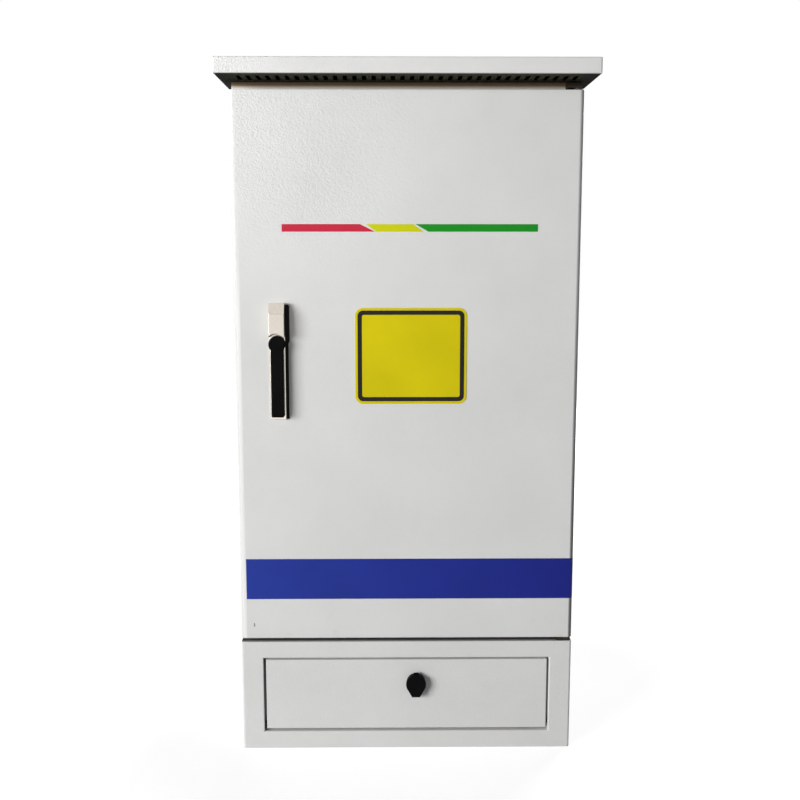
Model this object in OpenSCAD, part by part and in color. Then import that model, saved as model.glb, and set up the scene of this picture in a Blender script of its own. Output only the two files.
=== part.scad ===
// Roadside signal controller cabinet: a sheet steel body on a plinth, with a slotted roof cap,
// a pivot-hung door with a swing-handle latch, a drop-down access flap and the controller inside.
// Frame: origin in the middle of the plinth's underside, +Z up, the door faces -Y. Millimetres.

/* [Cabinet body] */
// Width of the body, the door and the plinth
cabinet_w = 600; // [580:1:760]
// Depth from the door's face to the rear face
cabinet_d = 450; // [430:1:600]
// Height of the body from the plinth's top to the roof's underside
body_h = 988; // [940:1:1300]
// Thickness of the body's sheet steel
sheet = 1.5; // [1.2:0.1:2]
// Width of the front frame beside the doorway
frame_side = 48; // [46:1:56]
// How far the door laps over the doorway at the top and the bottom
door_lap = 44; // [40:1:60]
// Depth of the sealing lip around the doorway
lip_d = 15; // [10:0.5:17]
// Outside radius of the body's rear bends
rear_bend_r = 4; // [3:0.5:8]

/* [Plinth] */
// Height of the plinth
plinth_h = 204; // [190:1:300]
// Thickness of the plinth's sheet steel
plinth_sheet = 2; // [1.5:0.1:3]
// Outside radius of the plinth's upright bends
plinth_bend_r = 4; // [3:0.5:8]
// Width of the flange that carries the body
top_flange_w = 42; // [40:1:60]
// Width of the flange that stands on the ground
foot_flange_w = 60; // [50:1:80]
// Distance of the anchor holes from the plinth's sides
anchor_side = 35; // [30:0.5:45]
// Distance of the anchor holes from the plinth's front and rear
anchor_end = 35; // [30:0.5:45]
// Diameter of the anchor holes
anchor_d = 14; // [10:0.5:18]
// Solid width beside the access opening
opening_side = 40; // [34:1:80]
// Solid height below the access opening
opening_sill = 32; // [26:1:60]
// Solid height above the access opening
opening_head = 31.5; // [26:0.5:40]
// Depth of the fold around the access opening
return_d = 25; // [22:0.5:30]
// Outer radius of the fold around the access opening
opening_fold_r = 2.6; // [1:0.2:3]

/* [Access flap] */
// Gap at each side of the flap
flap_side_gap = 4; // [3:0.5:8]
// Gap above the flap
flap_top_gap = 2.8; // [2:0.1:5]
// Gap below the flap
flap_bottom_gap = 6; // [5:0.1:9]
// Depth of the flap's folded edge
flap_d = 16; // [14:0.5:18]
// Distance of the flap's pivot from its face and from its lower edge
flap_pivot_inset = 8; // [7:0.5:9]
// Diameter of the flap's hinge pins
flap_pin_d = 6; // [4:0.5:7]
// Sideways offset of the flap's lock from the middle
flap_lock_x = 17; // [-80:1:80]
// Distance of the flap's lock below the flap's upper edge
flap_lock_drop = 43; // [41:0.5:45]
// Diameter of the lock's collar
collar_d = 34; // [30:0.5:36]
// Diameter of the lock's barrel
barrel_d = 22; // [20:0.5:24]
// Diameter of the lock's plug
plug_d = 16; // [12:0.5:17]
// Diameter of the lock's dust cap
cap_d = 36; // [35:0.2:40]
// Reach of the dust cap below the lock's centre
cap_tail = 24; // [22:0.5:30]
// Width of the dust cap at its lower end
cap_tail_w = 14; // [10:0.5:20]

/* [Roof] */
// Overhang of the roof in front of the door's face
roof_front = 60; // [40:1:90]
// Overhang of the roof at each side
roof_side = 17; // [10:1:40]
// Overhang of the roof at the rear
roof_rear = 17; // [10:1:40]
// Height of the roof's edge
fascia_h = 27; // [22:0.5:60]
// Outside radius of the roof's bends
roof_bend_r = 2.5; // [2:0.5:6]
// How far the roof's underside laps over the body
roof_lap = 25; // [22:1:40]
// Number of air slots in the roof's front underside
slot_count = 36; // [10:1:38]
// Plain width beside the row of slots at each end
slot_margin = 33.5; // [25:0.5:60]
// Width of a slot
slot_w = 7; // [4:0.5:9]
// Length of a slot
slot_l = 41.5; // [20:0.5:44]
// Distance of the slots behind the roof's front edge
slot_setback = 23.5; // [15:0.5:30]

/* [Door] */
// Gap above the door
door_gap_top = 16; // [14:0.5:24]
// Gap below the door
door_gap_bottom = 7.5; // [7.5:0.1:12]
// Depth of the door's tray
door_t = 25; // [24:0.5:26]
// Gap between the door's tray and the front frame
door_gap_back = 5; // [5:0.5:7]
// Outside radius of the door's upright bends
door_bend_r = 6.5; // [4:0.5:7]
// Width of the fold along the back of the door's tray
door_fold = 12; // [8:0.5:16]
// Distance of the door's pivot from its face and its side
pivot_inset = 10; // [10:0.1:10.5]
// Diameter of the door's pivot pins
pivot_pin_d = 8; // [6:0.5:9]
// Width of the rubber gasket
gasket_w = 14; // [10:0.5:15]
// Width of a door stiffener
stiffener_w = 40; // [30:1:50]
// Depth of a door stiffener
stiffener_d = 18; // [14:0.5:20]
// Distance of each stiffener from the door's middle
stiffener_x = 95; // [70:1:110]
// Width of the document pocket
pocket_w = 240; // [235:1:300]
// Height of the document pocket
pocket_h = 220; // [150:1:240]
// Depth of the document pocket
pocket_d = 28; // [18:1:32]

/* [Handle lock] */
// Distance of the lever's axis from the door's left edge
lock_edge = 75; // [73:0.5:80]
// Height of the lever's axis above the door's lower edge
lock_h = 535.5; // [480:0.5:560]
// Width of the lock's base
base_w = 27; // [25:0.5:30]
// Reach of the base above the lever's axis
base_up = 71; // [68:0.5:90]
// Reach of the base below the lever's axis
base_down = 133; // [131:0.5:180]
// Thickness of the base under the lever
base_t = 6; // [5:0.5:7]
// Thickness of the base's upper block
block_t = 22; // [21:0.5:26]
// Diameter of the lever's round head
head_d = 28.8; // [27:0.2:30]
// Width of the lever's arm
lever_w = 22; // [18:0.5:23]
// Length of the lever's arm from its axis
lever_l = 127.5; // [100:0.5:130]
// Thickness of the lever
lever_t = 13.2; // [12.6:0.2:13.6]
// Angle that the lever lifts from the base
lift_max = 25; // [15:1:25]
// Diameter of the key cylinder's plug
key_d = 12; // [9:0.5:13]
// Diameter of the lock's spindle
spindle_d = 14; // [14:0.5:15]

/* [Latch] */
// Thickness of the latch cam
cam_t = 3; // [2.5:0.1:3.5]
// Reach of the cam's tongue from the spindle
tongue_l = 40; // [38:0.5:44]
// Distance of the rod pins from the spindle
crank_r = 14; // [12:0.5:14.5]
// Width of a latch rod
rod_w = 20; // [19:0.5:20]
// Thickness of a latch rod
rod_t = 3; // [2.5:0.1:4]
// Reach of each rod behind the front frame
rod_reach = 14; // [10:0.5:16]

/* [Door films] */
// Thickness of the coloured films
film_t = 0.3; // [0.2:0.05:0.5]
// Height of the band's lower edge above the door's lower edge
band_up = 73.5; // [60:0.5:200]
// Height of the band
band_h = 74.5; // [40:0.5:120]
// Plain width left of the band
band_left = 11.5; // [8:0.5:60]
// Height of the stripe's lower edge above the door's lower edge
stripe_up = 728; // [600:1:740]
// Height of the stripe
stripe_h = 12.8; // [6:0.2:30]
// Plain width left of the stripe
stripe_left = 85; // [40:1:120]
// Plain width right of the stripe
stripe_right = 75; // [40:1:120]

/* [Equipment] */
// Distance of the rack's front behind the door's face
rack_setback = 155; // [150:1:170]
// Height of the mounting plate
plate_h = 300; // [290:1:320]
// Height of the operator panel
panel_h = 177; // [170:0.5:178]
// Height of the controller chassis
chassis_h = 266; // [250:0.5:267]
// Depth of the controller chassis
chassis_d = 230; // [210:1:240]
// Side of the fan's square frame
fan_side = 120; // [110:1:130]
// Height of the fan's frame
fan_h = 25; // [25:0.5:32]

/* [Hidden] */
$fn = 64;
half_w = cabinet_w / 2;
face_y = -cabinet_d / 2;
rear_y = cabinet_d / 2;
roof_z = plinth_h + body_h;
frame_y = face_y + door_t + door_gap_back;
wall_y = frame_y + sheet;
inner_x = half_w - sheet;
inner_y = rear_y - sheet;
floor_z = plinth_h + sheet;
ceiling_z = roof_z - sheet;
running = 0.05;
slip = 0.3;
cut = 1;
weld = 0.5;

open_x = half_w - opening_side;
open_z0 = opening_sill;
open_z1 = plinth_h - opening_head;
catch_h = 9;
flap_x = open_x - flap_side_gap;
flap_z0 = open_z0 + flap_bottom_gap;
flap_z1 = open_z1 - flap_top_gap;
flap_pivot_y = face_y + flap_pivot_inset;
flap_pivot_z = flap_z0 + flap_pivot_inset;
flap_lock_z = flap_z1 - flap_lock_drop;
pin_head_d = 10;
pin_head_t = 3;
pin_nut_t = 5;

collar_t = 9;
barrel_l = 24;
barrel_nut_d = 30;
barrel_nut_t = 6;
flap_cam_y = face_y + return_d + cut;
flap_cam_t = 3;
flap_cam_w = 16;
flap_cam_l = 43;
cam_screw_d = 10;
cap_t = 4;
cap_gap = 0.2;
cap_hinge_y = -8;
cap_hinge_up = 1.2;
cap_hinge_z = collar_d / 2 + cap_hinge_up;
cap_knuckle_r = 2.6;
cap_knuckle_w = 4;
cap_ear_w = 2.1;
cap_ear_d = 4;
cap_pin_d = 2.4;
cap_lean = 35;
key_slot_w = 1.6;
key_slot_h = 8;
key_slot_d = 6;

roof_x = half_w + roof_side;
roof_y0 = face_y - roof_front;
roof_y1 = rear_y + roof_rear;
slot_pitch = (2 * (roof_x - slot_margin) - slot_w) / (slot_count - 1);
bolt_d = 8;
bolt_hole_d = 9;
bolt_head_d = 15;
bolt_head_t = 5.3;
bolt_nut_t = 6.5;
bolt_inset = 14;
plinth_bolt_inset = 20;
plinth_bolt_y = 30;

door_z0 = plinth_h + door_gap_bottom;
door_z1 = roof_z - door_gap_top;
skin_y = face_y + sheet;
door_back_y = face_y + door_t;
pivot_x = half_w - pivot_inset;
pivot_y = face_y + pivot_inset;
pivot_bracket_t = 4;
pivot_collar_t = 3;
pivot_collar_d = 14;
pivot_shank_l = 18;
pivot_boss_h = 14;
pivot_boss_gap = 0.1;
pivot_boss_r = pivot_inset - sheet - pivot_boss_gap;
bracket_reach = 3;
bracket_w = 26;
bracket_edge = 2;
way_x = half_w - frame_side;
way_z0 = door_z0 + door_lap;
way_z1 = door_z1 - door_lap;
lip_y = frame_y - lip_d;
gasket_back_y = lip_y - slip;
stiffener_end = 62;
pocket_wall = 2;
pocket_up = 120;

lock_x = -half_w + lock_edge;
lock_z = door_z0 + lock_h;
base_soft = 1.2;
crescent_gap = 3.1;
crescent_r = head_d / 2 + crescent_gap;
foot_rise = 1.3;
block_foot = lever_w / 2 + foot_rise;
block_brow = 53;
brow_drop = 8;
boss_r = 13;
boss_l = 26;
lock_nut_d = 38;
lock_nut_t = 8;
lever_soft = 2;
lever_back_y = face_y - base_t - slip;
lever_pin_depth = 5.7;
lever_pin_y = lever_back_y - lever_pin_depth;
lever_pin_d = 5;
lever_pin_l = 26;
fork_w = 8;
fork_r = 6;
fork_neck = 5;
fork_pocket_h = 24;
fork_pocket_d = 12.2;
cover_t = 2;
cover_gap = 0.2;
cover_trim = 1;
cover_w = base_w - 2 * cover_trim;
cover_rim = 2.1;
cover_foot = crescent_r + cover_rim;
cover_pivot = 47;
cover_rivet_d = 5;
cover_rivet_l = 7;
key_up = 32;
key_l = 17;

cam_y = wall_y + cut;
cam_back_y = cam_y + cam_t;
cam_hub_d = 38;
tongue_w = 18;
drive_side = 9.6;
rod_pin_d = 6;
rod_y = cam_back_y + weld;
rod_back_y = rod_y + rod_t;
rod_offset = 2;
rod_x = rod_offset + rod_w / 2;
rod_slot_play = 1.5;
rod_slot_h = rod_pin_d + rod_slot_play;
crank_z = crank_r * sin(45);
rod_end = 8;
rod_top = way_z1 + rod_reach - lock_z;
rod_bottom = lock_z - way_z0 + rod_reach;
guide_post_w = 12;
guide_wall = 2;
guide_h = 12;
guide_near = 120;
guide_far = 60;

band_wrap = 4;
stripe_z0 = door_z0 + stripe_up;
stripe_w = cabinet_w - stripe_left - stripe_right;
red_end = [0.363, 0.305];
amber_start = [0.3686, 0.327];
amber_end = [0.5541, 0.5118];
green_start = [0.572, 0.5209];

rack_margin = 58.7;
rack_hole_edge = 8.75;
rack_unit = 44.45;
rack_y = face_y + rack_setback;
panel_t = 2;
panel_y = rack_y - panel_t;
panel_x = half_w - rack_margin;
post_edge = 15.8;
post_in = panel_x - post_edge;
post_w = 30;
post_d = 40;
post_t = 2;
rack_hole_d = 6.6;
rack_hole_margin = 40;
rack_hole_count = floor((body_h - rack_hole_margin) / rack_unit);
plate_up = 66;
plate_z0 = plinth_h + plate_up;
plate_z1 = plate_z0 + plate_h;
panel_up = 25;
panel_z0 = plate_z1 + panel_up;
panel_z1 = panel_z0 + panel_h;
chassis_up = 22;
chassis_z0 = panel_z1 + chassis_up;
chassis_z1 = chassis_z0 + chassis_h;
chassis_edge = 19.3;
chassis_x = panel_x - chassis_edge;
chassis_trim = 4;
bay_edge = 23.8;
bay_x = panel_x - bay_edge;
bay_trim = 8;
module_count = 6;
module_gap = 0.25;
module_pitch = 2 * bay_x / module_count;
board_t = 1.6;
board_d = 190;
power_part = [120, 160];
processor_part = [40, 120];
driver_part = [80, 180];
handle_gap = 10;
handle_bar = 4;
handle_l = 60;
window_h = 70;
window_t = 3;
window_share = 0.4559;
window_x = -window_share * panel_x;
window_w_share = 0.5388;
window_w = window_w_share * panel_x;
button_d = 22;
button_rise = 10;
button_body = 8;
button_flange_d = 26;
button_flange_t = 3;
bezel_d = 29;
bezel_t = 3;
button_share = [0.2487, 0.4559, 0.6631];
tray_edge = 51.3;
tray_x = panel_x - tray_edge;
tray_d = 50;

rail_h = 35;
rail_d = 7.5;
rail_t = 1;
rail_edge = 21.3;
rail_x = panel_x - rail_edge;
rail_wing = 5;
rail_up = 215;
rail_z = plate_z0 + rail_up;
rail_y = panel_y - rail_d;
breaker_h = 86;
breaker_low = 44;
breaker_high = 62;
breaker_raise = 45;
main_edge = 91.3;
main_x = main_edge - panel_x;
main_w = 54;
lamp_step = 60;
lamp_x = main_x + lamp_step;
lamp_w = 36;
toggle_r = 5.5;
toggle_pin_d = 3;
toggle_pin_l = 1.5;
toggle_tip = 16;
toggle_t = 4;
toggle_tilt = 30;
toggle_bay = 11;
arrester_step = 110;
arrester_x = lamp_x + arrester_step;
arrester_w = 90;
strip_edge = 31.3;
strip_l = 2 * (panel_x - strip_edge);
strip_h = 50;
strip_base = 12;
strip_rib = 30;
strip_ways = 24;
strip_up = 95;
strip_z = plate_z0 + strip_up;
earth_l = 300;
earth_h = 20;
earth_t = 5;
earth_gap = 15;
earth_holes = 10;
earth_hole_d = 6;
earth_up = 32;
earth_z = plate_z0 + earth_up;

fan_y = 70;
fan_z = ceiling_z - fan_h;
fan_wall = 2.5;
fan_bore_r = fan_side / 2 - fan_wall;
fan_hub_r = 20;
fan_strut = 4;
fan_blades = 7;
fan_blade_root = 2;
fan_tip_gap = 3.5;
fan_blade_h = 9;
fan_pitch_angle = 35;
fan_shaft_d = 5;
hub_z0 = 5;
hub_drop = 3;
hub_z1 = fan_h - hub_drop;
entry_w = 300;
entry_d = 160;
entry_y = 60;
gland_margin = 20;
gland_t = 2;
grommet_x = [-105, -35, 35, 105];
grommet_y = [-40, 40];
grommet_r = 16;
grommet_rim = 4;

// Box between two limits on each axis
module span(x, y, z) {
    translate([x[0], y[0], z[0]])
        cube([x[1] - x[0], y[1] - y[0], z[1] - z[0]]);
}

// Round bar along X between two limits
module bar_x(d, x) {
    translate([x[0], 0, 0])
        rotate([0, 90, 0])
            cylinder(d = d, h = x[1] - x[0]);
}

// Round bar along Y between two limits
module bar_y(d, y) {
    translate([0, y[0], 0])
        rotate([-90, 0, 0])
            cylinder(d = d, h = y[1] - y[0]);
}

// Round bar along Z between two limits
module bar_z(d, z) {
    translate([0, 0, z[0]])
        cylinder(d = d, h = z[1] - z[0]);
}

// Hexagon bar along Y between two limits
module hex_y(d, y) {
    translate([0, y[0], 0])
        rotate([-90, 0, 0])
            cylinder(d = d, h = y[1] - y[0], $fn = 6);
}

// Rectangle with round corners, centred
module round_rect(w, h, r) {
    square([w - 2 * r, h], center = true);
    square([w, h - 2 * r], center = true);
    for (x = [-1, 1], y = [-1, 1])
        translate([x * (w / 2 - r), y * (h / 2 - r)])
            circle(r);
}

// Box between two limits on each axis, with every edge rounded
module soft_span(x, y, z, r) {
    w = x[1] - x[0];
    d = y[1] - y[0];
    h = z[1] - z[0];
    translate([(x[0] + x[1]) / 2, (y[0] + y[1]) / 2, (z[0] + z[1]) / 2])
        intersection() {
            linear_extrude(h, center = true)
                round_rect(w, d, r);
            rotate([90, 0, 0])
                linear_extrude(d, center = true)
                    round_rect(w, h, r);
            rotate([90, 0, 90])
                linear_extrude(w, center = true)
                    round_rect(d, h, r);
        }
}

// Outline of the door's tray seen from above: half width, front, back, bend radius
module tray_outline(hw, y0, y1, r) {
    translate([-hw, y0 + r])
        square([2 * hw, y1 - y0 - r]);
    translate([r - hw, y0])
        square([2 * (hw - r), r]);
    for (s = [-1, 1])
        translate([s * (hw - r), y0 + r])
            circle(r);
}

// Flat panel that fills the body's plan, with its corners eased for the bends
module plan_panel(z) {
    translate([0, (wall_y + inner_y) / 2, z])
        linear_extrude(sheet)
            round_rect(2 * inner_x, inner_y - wall_y, rear_bend_r);
}

// Where the bolts sit that hold the roof
module at_roof_bolts() {
    for (x = [-1, 1], y = [wall_y + bolt_inset, inner_y - bolt_inset])
        translate([x * (inner_x - bolt_inset), y, 0])
            children();
}

// Where the bolts sit that hold the plinth
module at_plinth_bolts() {
    for (x = [-1, 1], y = [wall_y + plinth_bolt_y, inner_y - plinth_bolt_y])
        translate([x * (half_w - plinth_bolt_inset), y, 0])
            children();
}

// Bolt with its nut, head on the origin plane and pointing up through the grip
module bolt(grip) {
    translate([0, 0, -bolt_head_t])
        cylinder(d = bolt_head_d, h = bolt_head_t, $fn = 6);
    bar_z(bolt_d, [-bolt_head_t, grip + bolt_nut_t]);
    translate([0, 0, grip])
        cylinder(d = bolt_head_d, h = bolt_nut_t, $fn = 6);
}

// Waste outside the rounded fold around the access opening
module opening_fold_waste() {
    r = opening_fold_r;
    difference() {
        span([-open_x - r, open_x + r], [face_y - cut, face_y + r], [open_z0 - r, open_z1 + r]);
        for (x = [-open_x - r, open_x + r])
            translate([x, face_y + r, 0])
                bar_z(2 * r, [open_z0 - 2 * r, open_z1 + 2 * r]);
        for (z = [open_z0 - r, open_z1 + r])
            translate([0, face_y + r, z])
                bar_x(2 * r, [-open_x - 2 * r, open_x + 2 * r]);
    }
}

module plinth_frame() {
    t = plinth_sheet;
    color("gainsboro")
        difference() {
            union() {
                difference() {
                    linear_extrude(plinth_h)
                        round_rect(cabinet_w, cabinet_d, plinth_bend_r);
                    translate([0, 0, t])
                        linear_extrude(plinth_h - 2 * t)
                            round_rect(cabinet_w - 2 * t, cabinet_d - 2 * t, plinth_bend_r - t);
                    span([top_flange_w - half_w, half_w - top_flange_w],
                        [face_y + top_flange_w, rear_y - top_flange_w],
                        [plinth_h - t - cut, plinth_h + cut]);
                    span([foot_flange_w - half_w, half_w - foot_flange_w],
                        [face_y + foot_flange_w, rear_y - foot_flange_w], [-cut, t + cut]);
                }
                span([-open_x - t, open_x + t], [face_y, face_y + return_d],
                    [open_z0 - t, open_z1 + t]);
            }
            span([-open_x, open_x], [face_y - cut, face_y + return_d - t],
                [open_z0, open_z1]);
            opening_fold_waste();
            span([-open_x, open_x], [face_y, face_y + return_d + cut],
                [open_z0, open_z1 - catch_h]);
            for (x = [-1, 1], y = [-1, 1])
                translate([x * (half_w - anchor_side), y * (rear_y - anchor_end), 0])
                    bar_z(anchor_d, [-cut, t + cut]);
            at_plinth_bolts()
                bar_z(bolt_hole_d, [plinth_h - t - cut, plinth_h + cut]);
            translate([0, flap_pivot_y, flap_pivot_z])
                bar_x(flap_pin_d, [-open_x - t - cut, open_x + t + cut]);
        }
}

module cabinet_shell() {
    depth = cabinet_d + 2 * rear_bend_r;
    color("gainsboro")
        translate([0, 0, plinth_h])
            linear_extrude(body_h)
                difference() {
                    translate([0, rear_y - depth / 2])
                        round_rect(cabinet_w, depth, rear_bend_r);
                    translate([0, inner_y - depth / 2])
                        round_rect(2 * inner_x, depth, rear_bend_r - sheet);
                    translate([-cabinet_w, wall_y - cabinet_d])
                        square([2 * cabinet_w, cabinet_d]);
                }
}

module top_panel() {
    color("gainsboro")
        difference() {
            plan_panel(ceiling_z);
            translate([0, fan_y, 0])
                bar_z(2 * fan_bore_r, [ceiling_z - cut, roof_z + cut]);
            at_roof_bolts()
                bar_z(bolt_hole_d, [ceiling_z - cut, roof_z + cut]);
        }
}

module floor_panel() {
    color("gainsboro")
        difference() {
            plan_panel(plinth_h);
            span([-entry_w / 2, entry_w / 2], [entry_y - entry_d / 2, entry_y + entry_d / 2],
                [plinth_h - cut, floor_z + cut]);
            at_plinth_bolts()
                bar_z(bolt_hole_d, [plinth_h - cut, floor_z + cut]);
        }
}

module door_frame() {
    color("gainsboro")
        difference() {
            union() {
                span([-half_w, half_w], [frame_y, wall_y], [plinth_h, roof_z]);
                span([-way_x - sheet, way_x + sheet], [lip_y, wall_y],
                    [way_z0 - sheet, way_z1 + sheet]);
            }
            span([-way_x, way_x], [lip_y - cut, wall_y + cut], [way_z0, way_z1]);
        }
}

module roof_cap() {
    inner_top = fascia_h - sheet;
    color("whitesmoke")
        difference() {
            soft_span([-roof_x, roof_x], [roof_y0, roof_y1], [roof_z, roof_z + fascia_h],
                roof_bend_r);
            span([sheet - roof_x, roof_x - sheet], [roof_y0 + sheet, roof_y1 - sheet],
                [roof_z + sheet, roof_z + inner_top]);
            span([roof_lap - inner_x, inner_x - roof_lap], [wall_y + roof_lap, inner_y - roof_lap],
                [roof_z - cut, roof_z + sheet + cut]);
            for (i = [0 : slot_count - 1])
                translate([(i - (slot_count - 1) / 2) * slot_pitch, roof_y0 + slot_setback, roof_z])
                    span([-slot_w / 2, slot_w / 2], [0, slot_l], [-cut, sheet + cut]);
            at_roof_bolts()
                bar_z(bolt_hole_d, [roof_z - cut, roof_z + sheet + cut]);
        }
}

module cabinet_bolts() {
    color("silver") {
        at_roof_bolts()
            translate([0, 0, ceiling_z])
                bolt(2 * sheet);
        at_plinth_bolts()
            translate([0, 0, floor_z])
                mirror([0, 0, 1])
                    bolt(sheet + plinth_sheet);
    }
}

// Flat arm that carries a door pivot, with its underside on the origin plane
module pivot_arm() {
    difference() {
        span([half_w - bracket_edge - bracket_w, half_w - bracket_edge],
            [face_y + bracket_reach, frame_y], [0, pivot_bracket_t]);
        translate([pivot_x, pivot_y, 0])
            bar_z(pivot_pin_d, [-cut, pivot_bracket_t + cut]);
    }
}

module top_pivot_bracket() {
    arm_z = door_z1 + pivot_collar_t + weld;
    color("gainsboro")
        union() {
            translate([0, 0, arm_z])
                pivot_arm();
            span([half_w - bracket_edge - bracket_w, half_w - bracket_edge],
                [frame_y - pivot_bracket_t, frame_y], [arm_z, roof_z - cut]);
        }
}

module bottom_pivot_bracket() {
    color("gainsboro")
        translate([0, 0, plinth_h])
            pivot_arm();
}

// Shouldered pin, standing on the lower bracket
module pivot_pin() {
    bar_z(pivot_pin_d, [0, door_gap_bottom + pivot_shank_l]);
    bar_z(pivot_collar_d, [pivot_bracket_t, pivot_bracket_t + pivot_collar_t]);
}

module pivot_pins() {
    color("silver") {
        translate([pivot_x, pivot_y, plinth_h])
            pivot_pin();
        translate([pivot_x, pivot_y, door_z1 + pivot_bracket_t + pivot_collar_t + weld])
            mirror([0, 0, 1])
                pivot_pin();
    }
}

module flap_hinge_pins() {
    head = flap_x - sheet - slip;
    seat = open_x + plinth_sheet;
    color("silver")
        for (s = [0, 1])
            mirror([s, 0, 0])
                translate([0, flap_pivot_y, flap_pivot_z])
                    union() {
                        bar_x(flap_pin_d, [head - pin_head_t, seat + pin_nut_t]);
                        bar_x(pin_head_d, [head - pin_head_t, head]);
                        bar_x(pin_head_d, [seat, seat + pin_nut_t]);
                    }
}

module gland_plate() {
    color("silver")
        difference() {
            span([-entry_w / 2 - gland_margin, entry_w / 2 + gland_margin],
                [entry_y - entry_d / 2 - gland_margin, entry_y + entry_d / 2 + gland_margin],
                [floor_z, floor_z + gland_t]);
            for (x = grommet_x, y = grommet_y)
                translate([x, entry_y + y, 0])
                    bar_z(2 * grommet_r, [floor_z - cut, floor_z + gland_t + cut]);
        }
}

module cable_grommets() {
    color("dimgray")
        for (x = grommet_x, y = grommet_y)
            translate([x, entry_y + y, floor_z])
                union() {
                    bar_z(2 * grommet_r, [-grommet_rim, gland_t + grommet_rim]);
                    bar_z(2 * (grommet_r + grommet_rim), [gland_t, gland_t + grommet_rim]);
                    bar_z(2 * (grommet_r + grommet_rim), [-grommet_rim, 0]);
                }
}

// Angle post with a row of rack holes, on the right
module rack_post() {
    difference() {
        union() {
            span([post_in, post_in + post_w], [rack_y, rack_y + post_t], [floor_z, ceiling_z]);
            span([post_in + post_w - post_t, post_in + post_w], [rack_y, rack_y + post_d],
                [floor_z, ceiling_z]);
        }
        for (i = [1 : rack_hole_count])
            translate([panel_x - rack_hole_edge, 0, floor_z + i * rack_unit])
                bar_y(rack_hole_d, [rack_y - cut, rack_y + post_t + cut]);
    }
}

module rack_post_left() {
    color("silver")
        mirror([1, 0, 0])
            rack_post();
}

module rack_post_right() {
    color("silver")
        rack_post();
}

module controller_chassis() {
    box_z0 = chassis_z0 + chassis_trim;
    box_z1 = chassis_z1 - chassis_trim;
    color("lightgray")
        difference() {
            union() {
                span([-panel_x, panel_x], [panel_y, rack_y], [chassis_z0, chassis_z1]);
                span([-chassis_x, chassis_x], [rack_y, rack_y + chassis_d], [box_z0, box_z1]);
            }
            span([sheet - chassis_x, chassis_x - sheet], [rack_y, rack_y + chassis_d - sheet],
                [box_z0 + sheet, box_z1 - sheet]);
            span([-bay_x, bay_x], [panel_y - cut, rack_y + cut],
                [chassis_z0 + bay_trim, chassis_z1 - bay_trim]);
        }
}

// Plug-in module in a bay, with a block of parts behind its front, given as depth and height
module rack_module(bay, part) {
    x0 = bay * module_pitch - bay_x + module_gap;
    x1 = x0 + module_pitch - 2 * module_gap;
    mid = (x0 + x1) / 2;
    z0 = chassis_z0 + bay_trim + module_gap;
    z1 = chassis_z1 - bay_trim - module_gap;
    zm = (z0 + z1) / 2;
    grip_y = panel_y - handle_gap - handle_bar;
    union() {
        span([x0, x1], [panel_y, rack_y], [z0, z1]);
        span([mid - board_t, mid], [rack_y, rack_y + board_d], [z0 + bay_trim, z1 - bay_trim]);
        span([mid, x1 - bay_trim], [rack_y, rack_y + part[0]], [zm - part[1] / 2, zm + part[1] / 2]);
        span([mid - handle_bar, mid + handle_bar], [grip_y, grip_y + handle_bar],
            [zm - handle_l / 2, zm + handle_l / 2]);
        for (s = [-1, 1])
            translate([mid, 0, zm + s * (handle_l / 2 - handle_bar / 2)])
                span([-handle_bar, handle_bar], [grip_y, panel_y],
                    [-handle_bar / 2, handle_bar / 2]);
    }
}

module power_module() {
    color("lightgray")
        rack_module(0, power_part);
}

module processor_module() {
    color("lightgray")
        rack_module(1, processor_part);
}

module driver_module_1() {
    color("lightgray")
        rack_module(2, driver_part);
}

module driver_module_2() {
    color("lightgray")
        rack_module(3, driver_part);
}

module driver_module_3() {
    color("lightgray")
        rack_module(4, driver_part);
}

module driver_module_4() {
    color("lightgray")
        rack_module(5, driver_part);
}

// Sideways place of a push button, counted from the left
function button_at(place) = button_share[place] * panel_x;

module operator_panel() {
    zm = (panel_z0 + panel_z1) / 2;
    color("lightgray")
        difference() {
            union() {
                span([-panel_x, panel_x], [panel_y, rack_y], [panel_z0, panel_z1]);
                difference() {
                    span([-tray_x, tray_x], [rack_y, rack_y + tray_d],
                        [panel_z0 + bay_trim, panel_z1 - bay_trim]);
                    span([sheet - tray_x, tray_x - sheet], [rack_y, rack_y + tray_d + cut],
                        [panel_z0 + bay_trim + sheet, panel_z1 - bay_trim - sheet]);
                }
                for (i = [0 : 2])
                    translate([button_at(i), 0, zm])
                        bar_y(bezel_d, [panel_y - bezel_t, panel_y]);
            }
            for (i = [0 : 2])
                translate([button_at(i), 0, zm])
                    bar_y(button_d + 2 * slip, [panel_y - bezel_t - cut, rack_y + cut]);
            span([window_x - window_w / 2, window_x + window_w / 2], [panel_y - cut, rack_y + cut],
                [zm - window_h / 2, zm + window_h / 2]);
        }
}

module display_window() {
    zm = (panel_z0 + panel_z1) / 2;
    color("darkslategray")
        span([window_x - window_w / 2, window_x + window_w / 2], [rack_y - window_t, rack_y],
            [zm - window_h / 2, zm + window_h / 2]);
}

// Push button in a place of the operator panel
module push_button(place) {
    translate([button_at(place), 0, (panel_z0 + panel_z1) / 2])
        union() {
            bar_y(button_d, [panel_y - button_rise, rack_y + button_body]);
            bar_y(button_flange_d, [rack_y + slip, rack_y + slip + button_flange_t]);
        }
}

module auto_button() {
    color("green")
        push_button(0);
}

module flash_button() {
    color("gold")
        push_button(1);
}

module step_button() {
    color("red")
        push_button(2);
}

module mounting_plate() {
    color("silver")
        span([-panel_x, panel_x], [panel_y, rack_y], [plate_z0, plate_z1]);
}

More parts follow.
